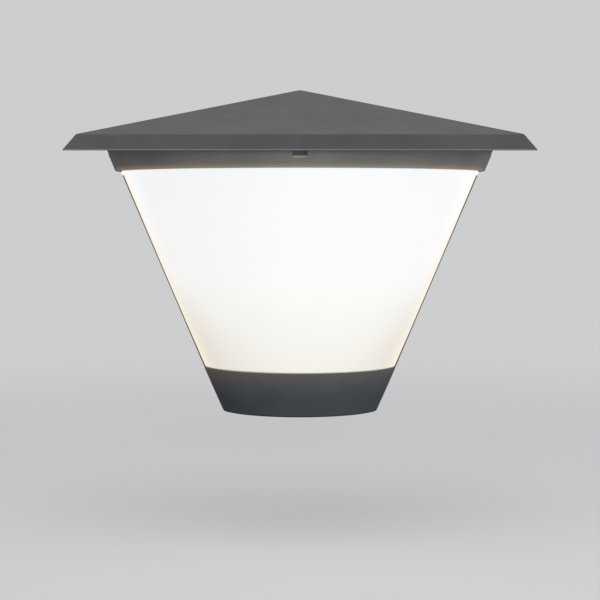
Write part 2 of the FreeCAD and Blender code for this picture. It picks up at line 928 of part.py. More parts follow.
def diffuser():
    """Opal half cone with a tongue below, a flange above and a lug at each top corner."""
    wall = round_ring(shoulder_level, shade_lip_level, -shade_wall, 0)
    tongue_outside = cup_inside - slip
    tongue_low = shoulder_level - tongue_length
    tongue_high = shoulder_level + tongue_root
    tongue = round_ring(tongue_low, tongue_high, tongue_outside - tongue_wall, tongue_outside)
    flange_low = shade_lip_level - shade_flange_height
    flange = round_ring(flange_low, shade_lip_level, -shade_wall, shade_flange_proud)
    front = slab_y((-shade_edge_depth, -light_reach), tongue_low, shade_lip_level)
    body = fused([wall, tongue, flange]).common(front)
    lug_high = shade_top_level - lug_drop
    lug_ring = half_ring(lug_high - lug_height, lug_high, -shade_wall, lug_proud)
    lug_back = -(shade_edge_depth - lug_reach)
    lugs = lug_ring.common(slab_y((lug_back, -shade_edge_depth - bond), lug_high - lug_height, lug_high))
    return fused([body] + lugs.Solids)


def upper_seal():
    """Soft ring under the reflector, just above the opal front's top when the roof is on."""
    low = shade_lip_level + slip
    ring = round_ring(low, reflector_level, -seal_inset - upper_seal_width, -seal_inset)
    return ring.common(slab_y((-shade_edge_depth, -light_reach), low, reflector_level))


def hipped_solid(inset, drop):
    """Rim, bevel and half pyramid, its point at the back, shrunk by an inset and lowered by a drop."""
    half = roof_width / 2 - inset
    front = -(roof_depth - inset)
    back = -roof_wall_gap - inset
    lean = bevel_inset * (bevel_height - drop) / bevel_height
    upper_half = half - lean
    upper_front = front + lean
    low = rim_level
    middle = bevel_level - drop
    a, b = Vector(-half, back, low), Vector(half, back, low)
    c, d = Vector(half, front, low), Vector(-half, front, low)
    e, f = Vector(-upper_half, back, middle), Vector(upper_half, back, middle)
    g, h = Vector(upper_half, upper_front, middle), Vector(-upper_half, upper_front, middle)
    tip = Vector(0, back, apex_level - drop)
    outlines = [
        (a, b, c, d), (d, c, g, h), (b, f, g, c), (a, d, h, e),
        (h, g, tip), (g, f, tip), (e, h, tip), (a, e, tip, f, b),
    ]
    faces = [Part.Face(Part.makePolygon(list(points) + [points[0]])) for points in outlines]
    return Part.makeSolid(Part.makeShell(faces))


def roof_boss_list():
    """Where the soffit is screwed to the roof, each place turned from the wall about the light's axis."""
    places = []
    for inset, degrees in ((side_boss_inset, side_boss_turn), (front_boss_inset, front_boss_turn)):
        reach = shade_top_radius - inset
        turn = math.radians(degrees)
        places.append((reach * math.cos(turn), -reach * math.sin(turn)))
    return each_corner(places)


def rim_wedge():
    """What is cut off under the rim, whose lower edge climbs from the front to the wall."""
    front = Vector(-light_reach, -roof_depth, rim_level)
    back = Vector(-light_reach, -roof_wall_gap, rim_level)
    points = [front + downward * overrun, front, back + upward * rim_climb, back + downward * overrun]
    return prism(points, Vector(2 * light_reach, 0, 0))


def roof_cap():
    """Cast roof, open below, with bosses for the soffit's screws."""
    outer = hipped_solid(0, 0)
    shell = outer.cut(hipped_solid(roof_wall, roof_wall)).cut(rim_wedge())
    bosses = []
    for x, y in roof_boss_list():
        boss = rod(Vector(x, y, soffit_top_level), Vector(x, y, apex_level), roof_boss_radius)
        bosses.append(boss.common(outer))
    body = fused([shell] + bosses)
    for x, y in roof_boss_list():
        mouth = Vector(x, y, soffit_top_level - overrun)
        hole_length = soffit_screw_length + overrun - soffit_thickness
        body = body.cut(screw_hole(mouth, upward, hole_length, True, screw_fit))
    return body


def skirt_profile():
    """Radius and height outline of the skirt, with its concave sweep out to the soffit."""
    foot = collar_top_level
    land = foot + skirt_land
    inner = radius_at(foot) + collar_inside
    outer_foot = radius_at(foot) + collar_proud
    outer_land = radius_at(land) + collar_proud
    wide = outer_land + cove_radius
    inner_top = radius_at(soffit_level) + collar_inside
    points = [Vector(inner, 0, foot), Vector(outer_foot, 0, foot), Vector(outer_land, 0, land)]
    turn = cove_radius * math.sqrt(2) / 2
    middle = Vector(wide - turn, 0, land + turn)
    top = Vector(wide, 0, soffit_level)
    over = soffit_level + bond
    rest = [top, Vector(wide, 0, over), Vector(inner_top, 0, over), Vector(inner_top, 0, soffit_level)]
    rest.append(points[0])
    edges = [Part.LineSegment(*ends).toShape() for ends in zip(points, points[1:])]
    edges.append(Part.Arc(points[2], middle, top).toShape())
    edges += [Part.LineSegment(*ends).toShape() for ends in zip(rest, rest[1:])]
    return Part.Face(Part.Wire(edges))


def straight_sided_skirt():
    """The skirt turned about the light's axis, and carried straight back to the wall like the body."""
    round_skirt = skirt_profile().revolve(Vector(0, 0, 0), Vector(0, 0, 1), -180)
    heights = (collar_top_level, soffit_level + bond)
    front = round_skirt.common(slab_y((-shade_edge_depth, -light_reach), *heights))
    ends = [face for face in front.Faces if face.BoundBox.YMin > -shade_edge_depth - slip]
    return fused([front] + [face.extrude(Vector(0, shade_edge_depth, 0)) for face in ends])


def soffit_room():
    """The roof's hollow less a margin, carried down to the collar."""
    margin = roof_wall + soffit_margin
    half = roof_width / 2 - margin
    depth = (-roof_wall_gap - margin, -(roof_depth - margin))
    low = block((-half, half), depth, (collar_top_level, rim_level))
    return fused([hipped_solid(margin, margin), low])


def roof_soffit():
    """Plate under the roof, with the coved skirt that stands on the collar."""
    room = soffit_room()
    back = -roof_wall_gap - roof_wall - soffit_margin
    plate = room.common(slab_y((0, -light_reach), soffit_level, soffit_top_level))
    skirt = room.common(straight_sided_skirt())
    reach = side_at(collar_top_level, collar_inside + bond)
    rear_low = collar_top_level + skirt_land
    rear = block((-reach, reach), (back, back - rear_skirt_thickness), (rear_low, soffit_level + bond))
    body = fused([plate, skirt, rear])
    for x, y in roof_boss_list():
        mouth = Vector(x, y, soffit_level - overrun)
        body = body.cut(screw_hole(mouth, upward, soffit_thickness + 2 * overrun, True, screw_play))
    for x in (clip_x, -clip_x):
        mouth = Vector(x, catch_screw_y(), soffit_level - overrun)
        body = body.cut(screw_hole(mouth, upward, soffit_thickness + overrun, False, screw_fit))
    return body


def top_reflector():
    """White plate under the soffit, over the light space."""
    disc = half_cone(reflector_level, soffit_level, shade_flange_proud - seal_inset)
    plate = disc.common(slab_y((reflector_back, -light_reach), reflector_level, soffit_level))
    for x, y in roof_boss_list():
        mouth = Vector(x, y, reflector_level - overrun)
        plate = plate.cut(screw_hole(mouth, upward, reflector_thickness + 2 * overrun, True, screw_play))
    return plate


def soffit_screws():
    """Screws through the reflector and the soffit into the roof's bosses."""
    length = soffit_screw_length + reflector_thickness - overrun
    seats = [Vector(x, y, reflector_level) for x, y in roof_boss_list()]
    return Part.makeCompound([screw(seat, downward, length, True) for seat in seats])


def clip_front():
    """Depth of the clip's flat foot at its front."""
    return plate_front - clip_thickness


def roof_clip(side):
    """Bent spring strip on the back plate, with a nose near its tip."""
    points = [
        (clip_front(), clip_foot_level),
        (clip_front(), clip_bend_level),
        (clip_front() - clip_nose_reach, clip_nose_level),
        (clip_front() - clip_tip_gap, clip_tip_level),
    ]
    low_x = side * clip_x - clip_width / 2
    front = [Vector(low_x, y, z) for y, z in points]
    rear = [point + inward * clip_thickness for point in reversed(front)]
    strip = prism(front + rear, Vector(clip_width, 0, 0))
    seat = Vector(side * clip_x, clip_front() - overrun, clip_screw_level)
    return strip.cut(screw_hole(seat, inward, clip_thickness + 2 * overrun, False, screw_play))


def clip_screws():
    """One screw for each clip."""
    length = clip_thickness + back_plate_thickness - screw_tip_margin
    seat = Vector(clip_x, clip_front(), clip_screw_level)
    return both_sides(screw(seat, outward, length, False))


def catch_leg_back():
    """Depth of the catch leg's back face, just in front of the clip's nose."""
    return clip_front() - clip_nose_reach - catch_gap


def catch_screw_y():
    """Depth of the catch's screw, in the middle of its flange."""
    return catch_leg_back() - catch_thickness - (catch_flange_length - catch_thickness) / 2


def roof_catches():
    """Angle plates under the soffit, whose hooks lie below the clips' noses."""
    half = catch_width / 2
    width = (clip_x - half, clip_x + half)
    back = catch_leg_back()
    leg = block(width, (back, back - catch_thickness), (catch_bottom_level, soffit_level))
    flange_depth = (back, back - catch_flange_length)
    flange = block(width, flange_depth, (soffit_level - catch_thickness, soffit_level))
    hook_top = catch_bottom_level + catch_hook_height
    hook = block(width, (back + catch_hook_reach, back - bond), (catch_bottom_level, hook_top))
    body = fused([leg, flange, hook])
    mouth = Vector(clip_x, catch_screw_y(), soffit_level - catch_thickness - overrun)
    body = body.cut(screw_hole(mouth, upward, catch_thickness + 2 * overrun, False, screw_play))
    return both_sides(body)


def catch_screws():
    """One screw for each catch."""
    seat = Vector(clip_x, catch_screw_y(), soffit_level - catch_thickness)
    return both_sides(screw(seat, downward, catch_thickness + soffit_thickness, False))


def bend_radius(before, corner, after):
    """Arc radius at a corner of a route, as large as its two runs allow."""
    first = corner - before
    second = after - corner
    turn = first.getAngle(second)
    return bend_share * min(first.Length, second.Length) / math.tan(turn / 2)


def lead(name, points, radius):
    """Round lead along straight runs joined by tangent arcs."""
    edges = []
    radii = []
    start = points[0]
    for before, corner, after in zip(points, points[1:], points[2:]):
        first = Vector(corner - before).normalize()
        second = Vector(after - corner).normalize()
        turn = first.getAngle(second)
        bend = bend_radius(before, corner, after)
        reach = bend * math.tan(turn / 2)
        enter = corner - first * reach
        leave = corner + second * reach
        towards = Vector(second - first).normalize()
        middle = corner + towards * (bend / math.cos(turn / 2) - bend)
        edges.append(Part.LineSegment(start, enter).toShape())
        edges.append(Part.Arc(enter, middle, leave).toShape())
        radii.append(round(bend, 1))
        start = leave
    edges.append(Part.LineSegment(start, points[-1]).toShape())
    path = Part.Wire(edges)
    section = Part.Wire(Part.makeCircle(radius, points[0], points[1] - points[0]))
    tube = path.makePipeShell([section], True, True)
    expected = math.pi * radius * radius * path.Length
    fill = round(tube.Volume / expected, 4)
    print(name, "bend radii", radii, "length", round(path.Length, 1), "fill", fill)
    return tube


def block_bottom():
    """Where a lead enters the block from below, at the end of its hole."""
    return block_top_level - block_height + entry_depth


def mains_lead_end_x():
    """How far out the mains leads enter the driver."""
    return driver_half_length * 3 / 4


def mains_lead(name, side):
    """Lead from an outer pole down to the driver's top, on one side."""
    pole_x = side * pole_pitch * (pole_count - 1) / 2
    pole_y = plate_front - block_depth / 2
    end_x = side * mains_lead_end_x()
    end_y = driver_back - driver_depth / 8
    top = driver_top_level()
    low = block_bottom() - entry_depth
    room = low - top
    way = end_x - pole_x
    points = [
        Vector(pole_x, pole_y, block_bottom()),
        Vector(pole_x, pole_y, low - room / 6),
        Vector(pole_x + way * 2 / 5, pole_y, low - room / 2),
        Vector(end_x, end_y, low - room * 4 / 5),
        Vector(end_x, end_y, top),
    ]
    return lead(name, points, mains_lead_radius)


def lead_live():
    """Live lead."""
    return mains_lead("lead_live", -1)


def lead_neutral():
    """Neutral lead."""
    return mains_lead("lead_neutral", 1)


def lead_earth():
    """Earth lead from the middle pole round to the tag's tongue."""
    pole_y = plate_front - block_depth / 2
    low = block_bottom() - entry_depth
    deep = -tray_back + plug_depth
    tag_y = earth_seat() - tag_thickness / 2
    tag_low = earth_level - tag_tongue_length
    step = tag_low - low
    points = [
        Vector(0, pole_y, block_bottom()),
        Vector(0, pole_y, low - step / 2),
        Vector(earth_x / 4, deep, low - step * 5 / 3),
        Vector(earth_x * 2 / 3, deep, low - step * 3 / 2),
        Vector(earth_x, tag_y, low - step / 3),
        Vector(earth_x, tag_y, tag_low),
    ]
    return lead("lead_earth", points, mains_lead_radius)


def led_lead(name, side):
    """Lead from the board's plug down to the driver's top."""
    x = side * plug_half_width / 2
    y = -tray_back + plug_depth / 2
    top = plug_top_level - plug_height
    bottom = driver_top_level()
    room = top - bottom
    points = [
        Vector(x, y, top),
        Vector(x, y, top - room / 4),
        Vector(x + side * led_lead_radius, y + plug_depth / 2, top - room / 2),
        Vector(x, y, top - room * 3 / 4),
        Vector(x, y, bottom),
    ]
    return lead(name, points, led_lead_radius)


def lead_led_plus():
    """Positive lead of the board."""
    return led_lead("lead_led_plus", 1)


def lead_led_minus():
    """Negative lead of the board."""
    return led_lead("lead_led_minus", -1)


def roof_clip_left():
    """Clip on the left side."""
    return roof_clip(-1)


def roof_clip_right():
    """Clip on the right side."""
    return roof_clip(1)


makers = [
    rear_housing, wall_gasket, fixing_seals, cable_grommet, cable_clamp, cable_clamp_screws,
    terminal_block, terminal_screws, terminal_fixings, earth_tag, earth_washer, earth_screw,
    collar, collar_screws, bottom_cup, cup_screws, cup_cover, cup_cover_screws,
    led_driver, driver_screws, gear_tray, tray_screws, led_board, led_chips, board_screws, board_plug,
    side_seals, lower_seal, diffuser, upper_seal, roof_cap, roof_soffit, top_reflector, soffit_screws,
    roof_clip_left, roof_clip_right, clip_screws, roof_catches, catch_screws,
    lead_live, lead_neutral, lead_earth, lead_led_plus, lead_led_minus,
]

os.makedirs("parts", exist_ok=True)
pieces = {}
for maker in makers:
    pieces[maker.__name__] = maker()
for name, shape in pieces.items():
    shape.exportStep("parts/" + name + ".step")
    print(name, "solids", len(shape.Solids), "volume", round(shape.Volume, 1), "valid", shape.isValid())
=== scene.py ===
import json
import math

import bmesh
import bpy
from mathutils import Matrix, Vector


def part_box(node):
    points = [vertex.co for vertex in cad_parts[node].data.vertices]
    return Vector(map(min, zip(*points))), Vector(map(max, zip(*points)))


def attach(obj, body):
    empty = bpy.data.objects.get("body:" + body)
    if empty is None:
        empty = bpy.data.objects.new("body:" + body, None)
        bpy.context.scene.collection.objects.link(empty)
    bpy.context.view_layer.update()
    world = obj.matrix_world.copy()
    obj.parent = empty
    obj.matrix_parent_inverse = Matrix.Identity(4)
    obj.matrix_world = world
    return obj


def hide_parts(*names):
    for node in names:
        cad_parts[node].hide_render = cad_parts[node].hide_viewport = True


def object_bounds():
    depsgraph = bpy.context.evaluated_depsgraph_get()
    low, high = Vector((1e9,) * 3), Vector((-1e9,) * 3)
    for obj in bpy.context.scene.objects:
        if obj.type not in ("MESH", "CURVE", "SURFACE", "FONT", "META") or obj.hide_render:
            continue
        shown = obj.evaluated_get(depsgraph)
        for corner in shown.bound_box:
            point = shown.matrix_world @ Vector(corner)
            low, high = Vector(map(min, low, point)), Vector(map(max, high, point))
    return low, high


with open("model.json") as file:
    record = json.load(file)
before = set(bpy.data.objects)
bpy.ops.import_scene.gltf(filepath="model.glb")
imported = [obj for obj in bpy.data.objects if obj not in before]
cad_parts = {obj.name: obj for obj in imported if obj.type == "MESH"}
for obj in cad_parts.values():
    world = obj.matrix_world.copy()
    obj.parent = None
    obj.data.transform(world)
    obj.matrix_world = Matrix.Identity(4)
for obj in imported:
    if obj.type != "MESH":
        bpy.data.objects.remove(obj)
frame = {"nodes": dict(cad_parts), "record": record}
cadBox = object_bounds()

print("wall light: frame loaded")

# The half cone that the opal front, collar, cup and housing share, in metres
cone = {
    "topRadius": 0.1201,
    "bottomRadius": 0.0665,
    "topLevel": 0.0683,
    "bottomLevel": -0.0622,
    "sideDepth": 0.022,    # from here back to the wall the sides run straight
    "steps": 96,           # facets round the half turn
}
merge = 1e-7               # vertices closer than this are one
cadMerge = 1e-6            # the same for a CAD node's loose triangles
flatTurn = 0.4             # faces that turn by fewer degrees than this become one
straight = 0.9999          # a normal with more than this along an axis runs along it
rodSides = 32              # facets round a hole, a post or a boss


def coneRadius(level):
    # of the opal's outer face
    share = (cone["topLevel"] - level) / (cone["topLevel"] - cone["bottomLevel"])
    return cone["topRadius"] - (cone["topRadius"] - cone["bottomRadius"]) * share


def sideReach(level, outset):
    # how far out the straight side stands
    return math.sqrt((coneRadius(level) + outset) ** 2 - cone["sideDepth"] ** 2)


def onCone(outsets):
    # (outset, level) pairs become (radius, level) pairs
    return [(coneRadius(level) + outset, level) for outset, level in outsets]


# Mesh helpers


def everything(bm):
    return list(bm.verts) + list(bm.edges) + list(bm.faces)


def onlyVerts(items):
    return [item for item in items if isinstance(item, bmesh.types.BMVert)]


def onlyFaces(items):
    return [item for item in items if isinstance(item, bmesh.types.BMFace)]


def joinFlats(bm, distance):
    # doubled vertices become one, and so do the faces of one plane
    bmesh.ops.remove_doubles(bm, verts=bm.verts, dist=distance)
    bmesh.ops.dissolve_limit(bm, angle_limit=math.radians(flatTurn), verts=bm.verts, edges=bm.edges)


def faceOutwards(bm):
    # closes what is open and turns all faces outwards
    openEdges = [edge for edge in bm.edges if edge.is_boundary]
    if openEdges:
        bmesh.ops.holes_fill(bm, edges=openEdges, sides=0)
    bmesh.ops.recalc_face_normals(bm, faces=bm.faces)


def addBlock(bm, low, high, lean=0.0):
    # a box between two corners, whose outer top edge can lean out along x
    made = bmesh.ops.create_cube(bm, size=1.0)["verts"]
    size = [high[axis] - low[axis] for axis in range(3)]
    middle = [(high[axis] + low[axis]) / 2 for axis in range(3)]
    bmesh.ops.scale(bm, verts=made, vec=size)
    bmesh.ops.translate(bm, verts=made, vec=middle)
    upper = [vert for vert in made if vert.co.z > middle[2] and vert.co.x * lean > middle[0] * lean]
    bmesh.ops.translate(bm, verts=upper, vec=(lean, 0, 0))
    return made


def addRod(bm, start, end, radius):
    way = Vector(end) - Vector(start)
    turn = Vector((0, 0, 1)).rotation_difference(way).to_matrix().to_4x4()
    place = Matrix.Translation((Vector(start) + Vector(end)) / 2) @ turn
    bmesh.ops.create_cone(bm, cap_ends=True, segments=rodSides, radius1=radius, radius2=radius,
                          depth=way.length, matrix=place)


def spinHalf(bm, outline, sides=True):
    # a closed outline of (radius, level) sweeps from +x over -y to -x
    # with sides, its ends run straight to the wall
    verts = [bm.verts.new((radius, 0, level)) for radius, level in outline]
    edges = [bm.edges.new(pair) for pair in zip(verts, verts[1:] + verts[:1])]
    bmesh.ops.spin(bm, geom=verts + edges, cent=(0, 0, 0), axis=(0, 0, 1), angle=-math.pi,
                   steps=cone["steps"], use_merge=False)
    bmesh.ops.remove_doubles(bm, verts=bm.verts, dist=merge)
    bmesh.ops.dissolve_degenerate(bm, edges=bm.edges, dist=merge)
    if sides:
        bmesh.ops.bisect_plane(bm, geom=everything(bm), dist=merge, plane_co=(0, -cone["sideDepth"], 0),
                               plane_no=(0, 1, 0), clear_outer=True)
        openEdges = [edge for edge in bm.edges if edge.is_boundary]
        grown = bmesh.ops.extrude_edge_only(bm, edges=openEdges)["geom"]
        bmesh.ops.translate(bm, verts=onlyVerts(grown), vec=(0, cone["sideDepth"], 0))
    faceOutwards(bm)


def addEars(bm, look, low, high, outset):
    # a block at each side that reaches out into the leaning wall
    inner = look["earX"] - look["earHalf"]
    front, back = look["earDepth"]
    for side in (1, -1):
        near, far = sorted((side * inner, side * sideReach(low, outset + look["earBite"])))
        addBlock(bm, (near, front, low), (far, back, high), side * (coneRadius(high) - coneRadius(low)))


def cutAway(bm, point, normal):
    # removes the normal's side of a plane and closes the cut
    bmesh.ops.bisect_plane(bm, geom=everything(bm), dist=merge, plane_co=point, plane_no=normal,
                           clear_outer=True)
    faceOutwards(bm)


def roundEdges(bm, width, segments, angle, only=None, clamp=True):
    # bevels the edges that turn by more than the angle
    # a piece's dictionary holds width, segments and angle for each kind of edge
    limit = math.radians(angle)
    sharp = [edge for edge in bm.edges if edge.is_manifold and edge.calc_face_angle() > limit]
    if only:
        sharp = [edge for edge in sharp if only(edge)]
    bmesh.ops.bevel(bm, geom=sharp, offset=width, segments=segments, profile=0.5, affect="EDGES",
                    material=-1, clamp_overlap=clamp)


def addMesh(bm, other):
    # the second shape joins the first and is used up
    spare = bpy.data.meshes.new("spare")
    other.to_mesh(spare)
    other.free()
    bm.from_mesh(spare)
    bpy.data.meshes.remove(spare)


def addObject(name, data):
    item = bpy.data.objects.new(name, data)
    bpy.context.scene.collection.objects.link(item)
    return item


def meshObject(name, bm):
    mesh = bpy.data.meshes.new(name)
    bm.to_mesh(mesh)
    bm.free()
    return addObject(name, mesh)


def carve(bm, cutter):
    # the first shape less the second, both closed; the two are used up
    target = meshObject("carveTarget", bm)
    tool = meshObject("carveTool", cutter)
    cut = target.modifiers.new("cut", "BOOLEAN")
    cut.operation = "DIFFERENCE"
    cut.solver = "EXACT"
    cut.object = tool
    evaluated = target.evaluated_get(bpy.context.evaluated_depsgraph_get())
    result = bmesh.new()
    result.from_mesh(evaluated.to_mesh())
    evaluated.to_mesh_clear()
    for item in (target, tool):
        bpy.data.objects.remove(item)
    bmesh.ops.remove_doubles(result, verts=result.verts, dist=merge)
    return result


def showPiece(name, bm, body, finish, nodes, sharpAngle=40.0):
    # a finished shape becomes a piece that rides on its body and stands for its CAD nodes
    piece = meshObject(name, bm)
    for material in finish:
        piece.data.materials.append(material)
    for polygon in piece.data.polygons:
        polygon.use_smooth = True
    piece.data.set_sharp_from_angle(angle=math.radians(sharpAngle))
    weighted = piece.modifiers.new("flatFaces", "WEIGHTED_NORMAL")
    weighted.keep_sharp = True
    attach(piece, body)
    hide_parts(*nodes)


def cadShape(node):
    # a merged copy of a CAD node's mesh, with its flat faces whole
    bm = bmesh.new()
    bm.from_mesh(frame["nodes"][node].data)
    joinFlats(bm, cadMerge)
    return bm


def solidBoxes(node):
    # lowest and highest corner of each separate solid in a node
    bm = cadShape(node)
    left = set(bm.verts)
    boxes = []
    while left:
        group, reached = set(), [left.pop()]
        while reached:
            vert = reached.pop()
            group.add(vert)
            near = {other for link in vert.link_edges for other in link.verts} & left
            left -= near
            reached.extend(near)
        corners = [[pick(vert.co[axis] for vert in group) for axis in range(3)] for pick in (min, max)]
        boxes.append((Vector(corners[0]), Vector(corners[1])))
    bm.free()
    return sorted(boxes, key=lambda box: (round(box[0].z, 5), round(box[0].x, 5)))


# Nodes: every input takes a socket, which is linked, or a plain value


def feed(tree, node, sources):
    for title, source in sources.items():
        if isinstance(source, bpy.types.NodeSocket):
            tree.links.new(source, node.inputs[title])
        else:
            node.inputs[title].default_value = source


def addNode(tree, kind, sources=None, **settings):
    # makes a node and hands back its outputs
    node = tree.nodes.new("ShaderNode" + kind)
    for title, value in settings.items():
        setattr(node, title, value)
    feed(tree, node, sources or {})
    return node.outputs


def calculate(tree, operation, *values):
    return addNode(tree, "Math", dict(enumerate(values)), operation=operation)[0]


def spread(tree, value, low, high, toLow=0.0, toHigh=1.0, curve="SMOOTHSTEP"):
    # the value's way from low to high becomes a way from toLow to toHigh
    return addNode(tree, "MapRange", {"Value": value, "From Min": low, "From Max": high,
                                      "To Min": toLow, "To Max": toHigh}, interpolation_type=curve)[0]


def blend(tree, factor, first, second):
    return addNode(tree, "Mix", {"Factor": factor, "A": first, "B": second}, data_type="RGBA")["Result"]


def addNoise(tree, place, scale, detail, roughness):
    return addNode(tree, "TexNoise", {"Vector": place, "Scale": scale, "Detail": detail,
                                      "Roughness": roughness})["Fac"]


# Shared effects, each built once


def newGroup(name, inputs, outputs):
    # a place and numbers go in, and numbers come out
    group = bpy.data.node_groups.new(name, "ShaderNodeTree")
    group.interface.new_socket(name="Vector", in_out="INPUT", socket_type="NodeSocketVector")
    for title, value in inputs.items():
        socket = group.interface.new_socket(name=title, in_out="INPUT", socket_type="NodeSocketFloat")
        socket.default_value = value
    for title in outputs:
        group.interface.new_socket(name=title, in_out="OUTPUT", socket_type="NodeSocketFloat")
    return group, group.nodes.new("NodeGroupInput").outputs, group.nodes.new("NodeGroupOutput")


grainLook = {
    "coarse": (1.0, 2.0, 0.5),      # scale as a share of a look's cell, detail and roughness
    "fine": (2.7, 1.0, 0.5),
    "slow": (0.035, 3.0, 0.6),
    "fineHeight": 0.45,             # as a share of the coarse grain's height
}


def grainGroup(look):
    # fine and finer pimples of a sprayed or moulded skin, as a height and a slow mask
    group, given, end = newGroup("skinGrain", {"Cell": 900.0}, ["Height", "Mask"])
    coarse, fine, slow = [
        addNoise(group, given["Vector"], calculate(group, "MULTIPLY", given["Cell"], share), *noise)
        for share, *noise in (look["coarse"], look["fine"], look["slow"])]
    lower = calculate(group, "MULTIPLY", fine, look["fineHeight"])
    feed(group, end, {"Height": calculate(group, "ADD", coarse, lower), "Mask": slow})
    return group


dustAndTopLightLook = {
    "upwardSpan": (0.65, 0.95),     # dust and painted top light start and are full where a normal points up by this much
    "noise": (38.0, 4.0, 0.6),      # scale, detail and roughness
    "patches": (0.3, 0.7, 0.78, 1.0),   # part of the noise, and the least and the full cover
}
# a lighter tone on outer edges, a painted edge highlight
edgeHighlightLook = {
    "edgeSpan": (0.51, 0.6),        # pointiness at which the painted edge highlight starts and is full
    "noise": (160.0, 3.0, 0.6),
    "patches": (0.4, 0.65, 0.0, 1.0),
}


def patchyGroup(name, look):
    # a mask of dust and painted top light on upward faces, or of a painted highlight on outer edges,
    # thinner in patches
    group, given, end = newGroup(name, {"Amount": 0.3}, ["Mask"])
    surface = addNode(group, "NewGeometry")
    if "upwardSpan" in look:
        upward = addNode(group, "SeparateXYZ", {"Vector": surface["Normal"]})["Z"]
        cover = spread(group, upward, *look["upwardSpan"])
    else:
        cover = spread(group, surface["Pointiness"], *look["edgeSpan"])
    patches = spread(group, addNoise(group, given["Vector"], *look["noise"]), *look["patches"])
    patchy = calculate(group, "MULTIPLY", cover, patches)
    feed(group, end, {"Mask": calculate(group, "MULTIPLY", patchy, given["Amount"])})
    return group


def spillGroup():
    # strong beside a level and gone at the reach above or below it
    # towards the wall it fades out between two depths
    inputs = {"Level": 0.0, "Reach": 0.002, "FadeFrom": 1.0, "FadeTo": 2.0}
    group, given, end = newGroup("litEdge", inputs, ["Mask"])
    axes = addNode(group, "SeparateXYZ", {"Vector": given["Vector"]})
    away = calculate(group, "ABSOLUTE", calculate(group, "SUBTRACT", axes["Z"], given["Level"]))
    share = calculate(group, "DIVIDE", away, given["Reach"])
    left = spread(group, share, 0.0, 1.0, 1.0, 0.0, "LINEAR")
    fast = calculate(group, "POWER", left, 2.0)     # falls off as a square
    towardsWall = spread(group, axes["Y"], given["FadeFrom"], given["FadeTo"], 1.0, 0.0)
    feed(group, end, {"Mask": calculate(group, "MULTIPLY", fast, towardsWall)})
    return group


groups = {
    "grain": grainGroup(grainLook),
    "dust": patchyGroup("dustAndPaintedTopLight", dustAndTopLightLook),
    "wear": patchyGroup("paintedEdgeHighlight", edgeHighlightLook),
    "spill": spillGroup(),
}


# Finishes

skin = {
    "mottleSpan": (0.3, 0.7),       # part of the grain's mask that goes from dark to light
    "roughSpan": (0.25, 0.75),      # and from smooth to rough
    "softScale": 0.004,             # how deep light enters soft plastics
    "ior": 1.45,
    "stripeSpan": (0.7, 0.78),      # a stripe lies where a normal points this far forwards or back
}


def srgb(red, green, blue):
    # display values from 0 to 255 as linear colour
    def linear(value):
        value = value / 255
        return value / 12.92 if value <= 0.04045 else ((value + 0.055) / 1.055) ** 2.4
    return (linear(red), linear(green), linear(blue), 1.0)


def useGroup(tree, key, place, **values):
    return addNode(tree, "Group", {"Vector": place, **values}, node_tree=groups[key])


def newMaterial(name):
    material = bpy.data.materials.new(name)
    material.use_nodes = True
    tree = material.node_tree
    return material, tree, tree.nodes["Principled BSDF"], addNode(tree, "TexCoord")["Object"]


def addSkin(tree, shader, grain, look):
    # roughness and bump from the grain
    rough = spread(tree, grain["Mask"], *skin["roughSpan"], *look["rough"])
    bump = addNode(tree, "Bump", {"Strength": look["bump"], "Distance": look["depth"],
                                  "Height": grain["Height"]})
    feed(tree, shader, {"Roughness": rough, "Normal": bump["Normal"]})


def makeFinish(name, look):
    # mottled colour and grain, with the dust and painted top light, painted edge highlight, stripe and
    # spilled light that the look has
    material, tree, shader, place = newMaterial(name)
    stretched = addNode(tree, "Mapping", {"Vector": place, "Scale": look.get("stretch", (1, 1, 1))})[0]
    grain = useGroup(tree, "grain", stretched, Cell=look["cell"])
    mottle = spread(tree, grain["Mask"], *skin["mottleSpan"])
    color = blend(tree, mottle, srgb(*look["dark"]), srgb(*look["light"]))
    # upward faces get a lighter tone that is dust and painted top light, and outer edges a painted
    # highlight
    for key in ("dust", "wear"):
        if key in look:
            mask = useGroup(tree, key, place, Amount=look[key])["Mask"]
            color = blend(tree, mask, color, srgb(*look[key + "Color"]))
    if "stripe" in look:
        normal = addNode(tree, "NewGeometry")["Normal"]
        facing = calculate(tree, "ABSOLUTE", addNode(tree, "SeparateXYZ", {"Vector": normal})["Y"])
        color = blend(tree, spread(tree, facing, *skin["stripeSpan"]), color, srgb(*look["stripe"]))
    feed(tree, shader, {"Base Color": color, "Metallic": look.get("metallic", 0.0), "IOR": skin["ior"],
                        "Specular IOR Level": look.get("specular", 0.5),
                        "Subsurface Weight": look.get("soft", 0.0),
                        "Subsurface Scale": skin["softScale"]})
    addSkin(tree, shader, grain, look)
    if "spill" in look:
        turn = (math.radians(look.get("spillTurn", 0.0)), 0, 0)
        turned = addNode(tree, "Mapping", {"Vector": place, "Rotation": turn})[0]
        spill = useGroup(tree, "spill", turned, Level=look["spillLevel"], Reach=look["spillReach"],
                         **look.get("spillFade", {}))
        lit = blend(tree, spill["Mask"], (0, 0, 0, 1), srgb(*look["spill"]))
        feed(tree, shader, {"Emission Color": lit, "Emission Strength": 1.0})
    return material


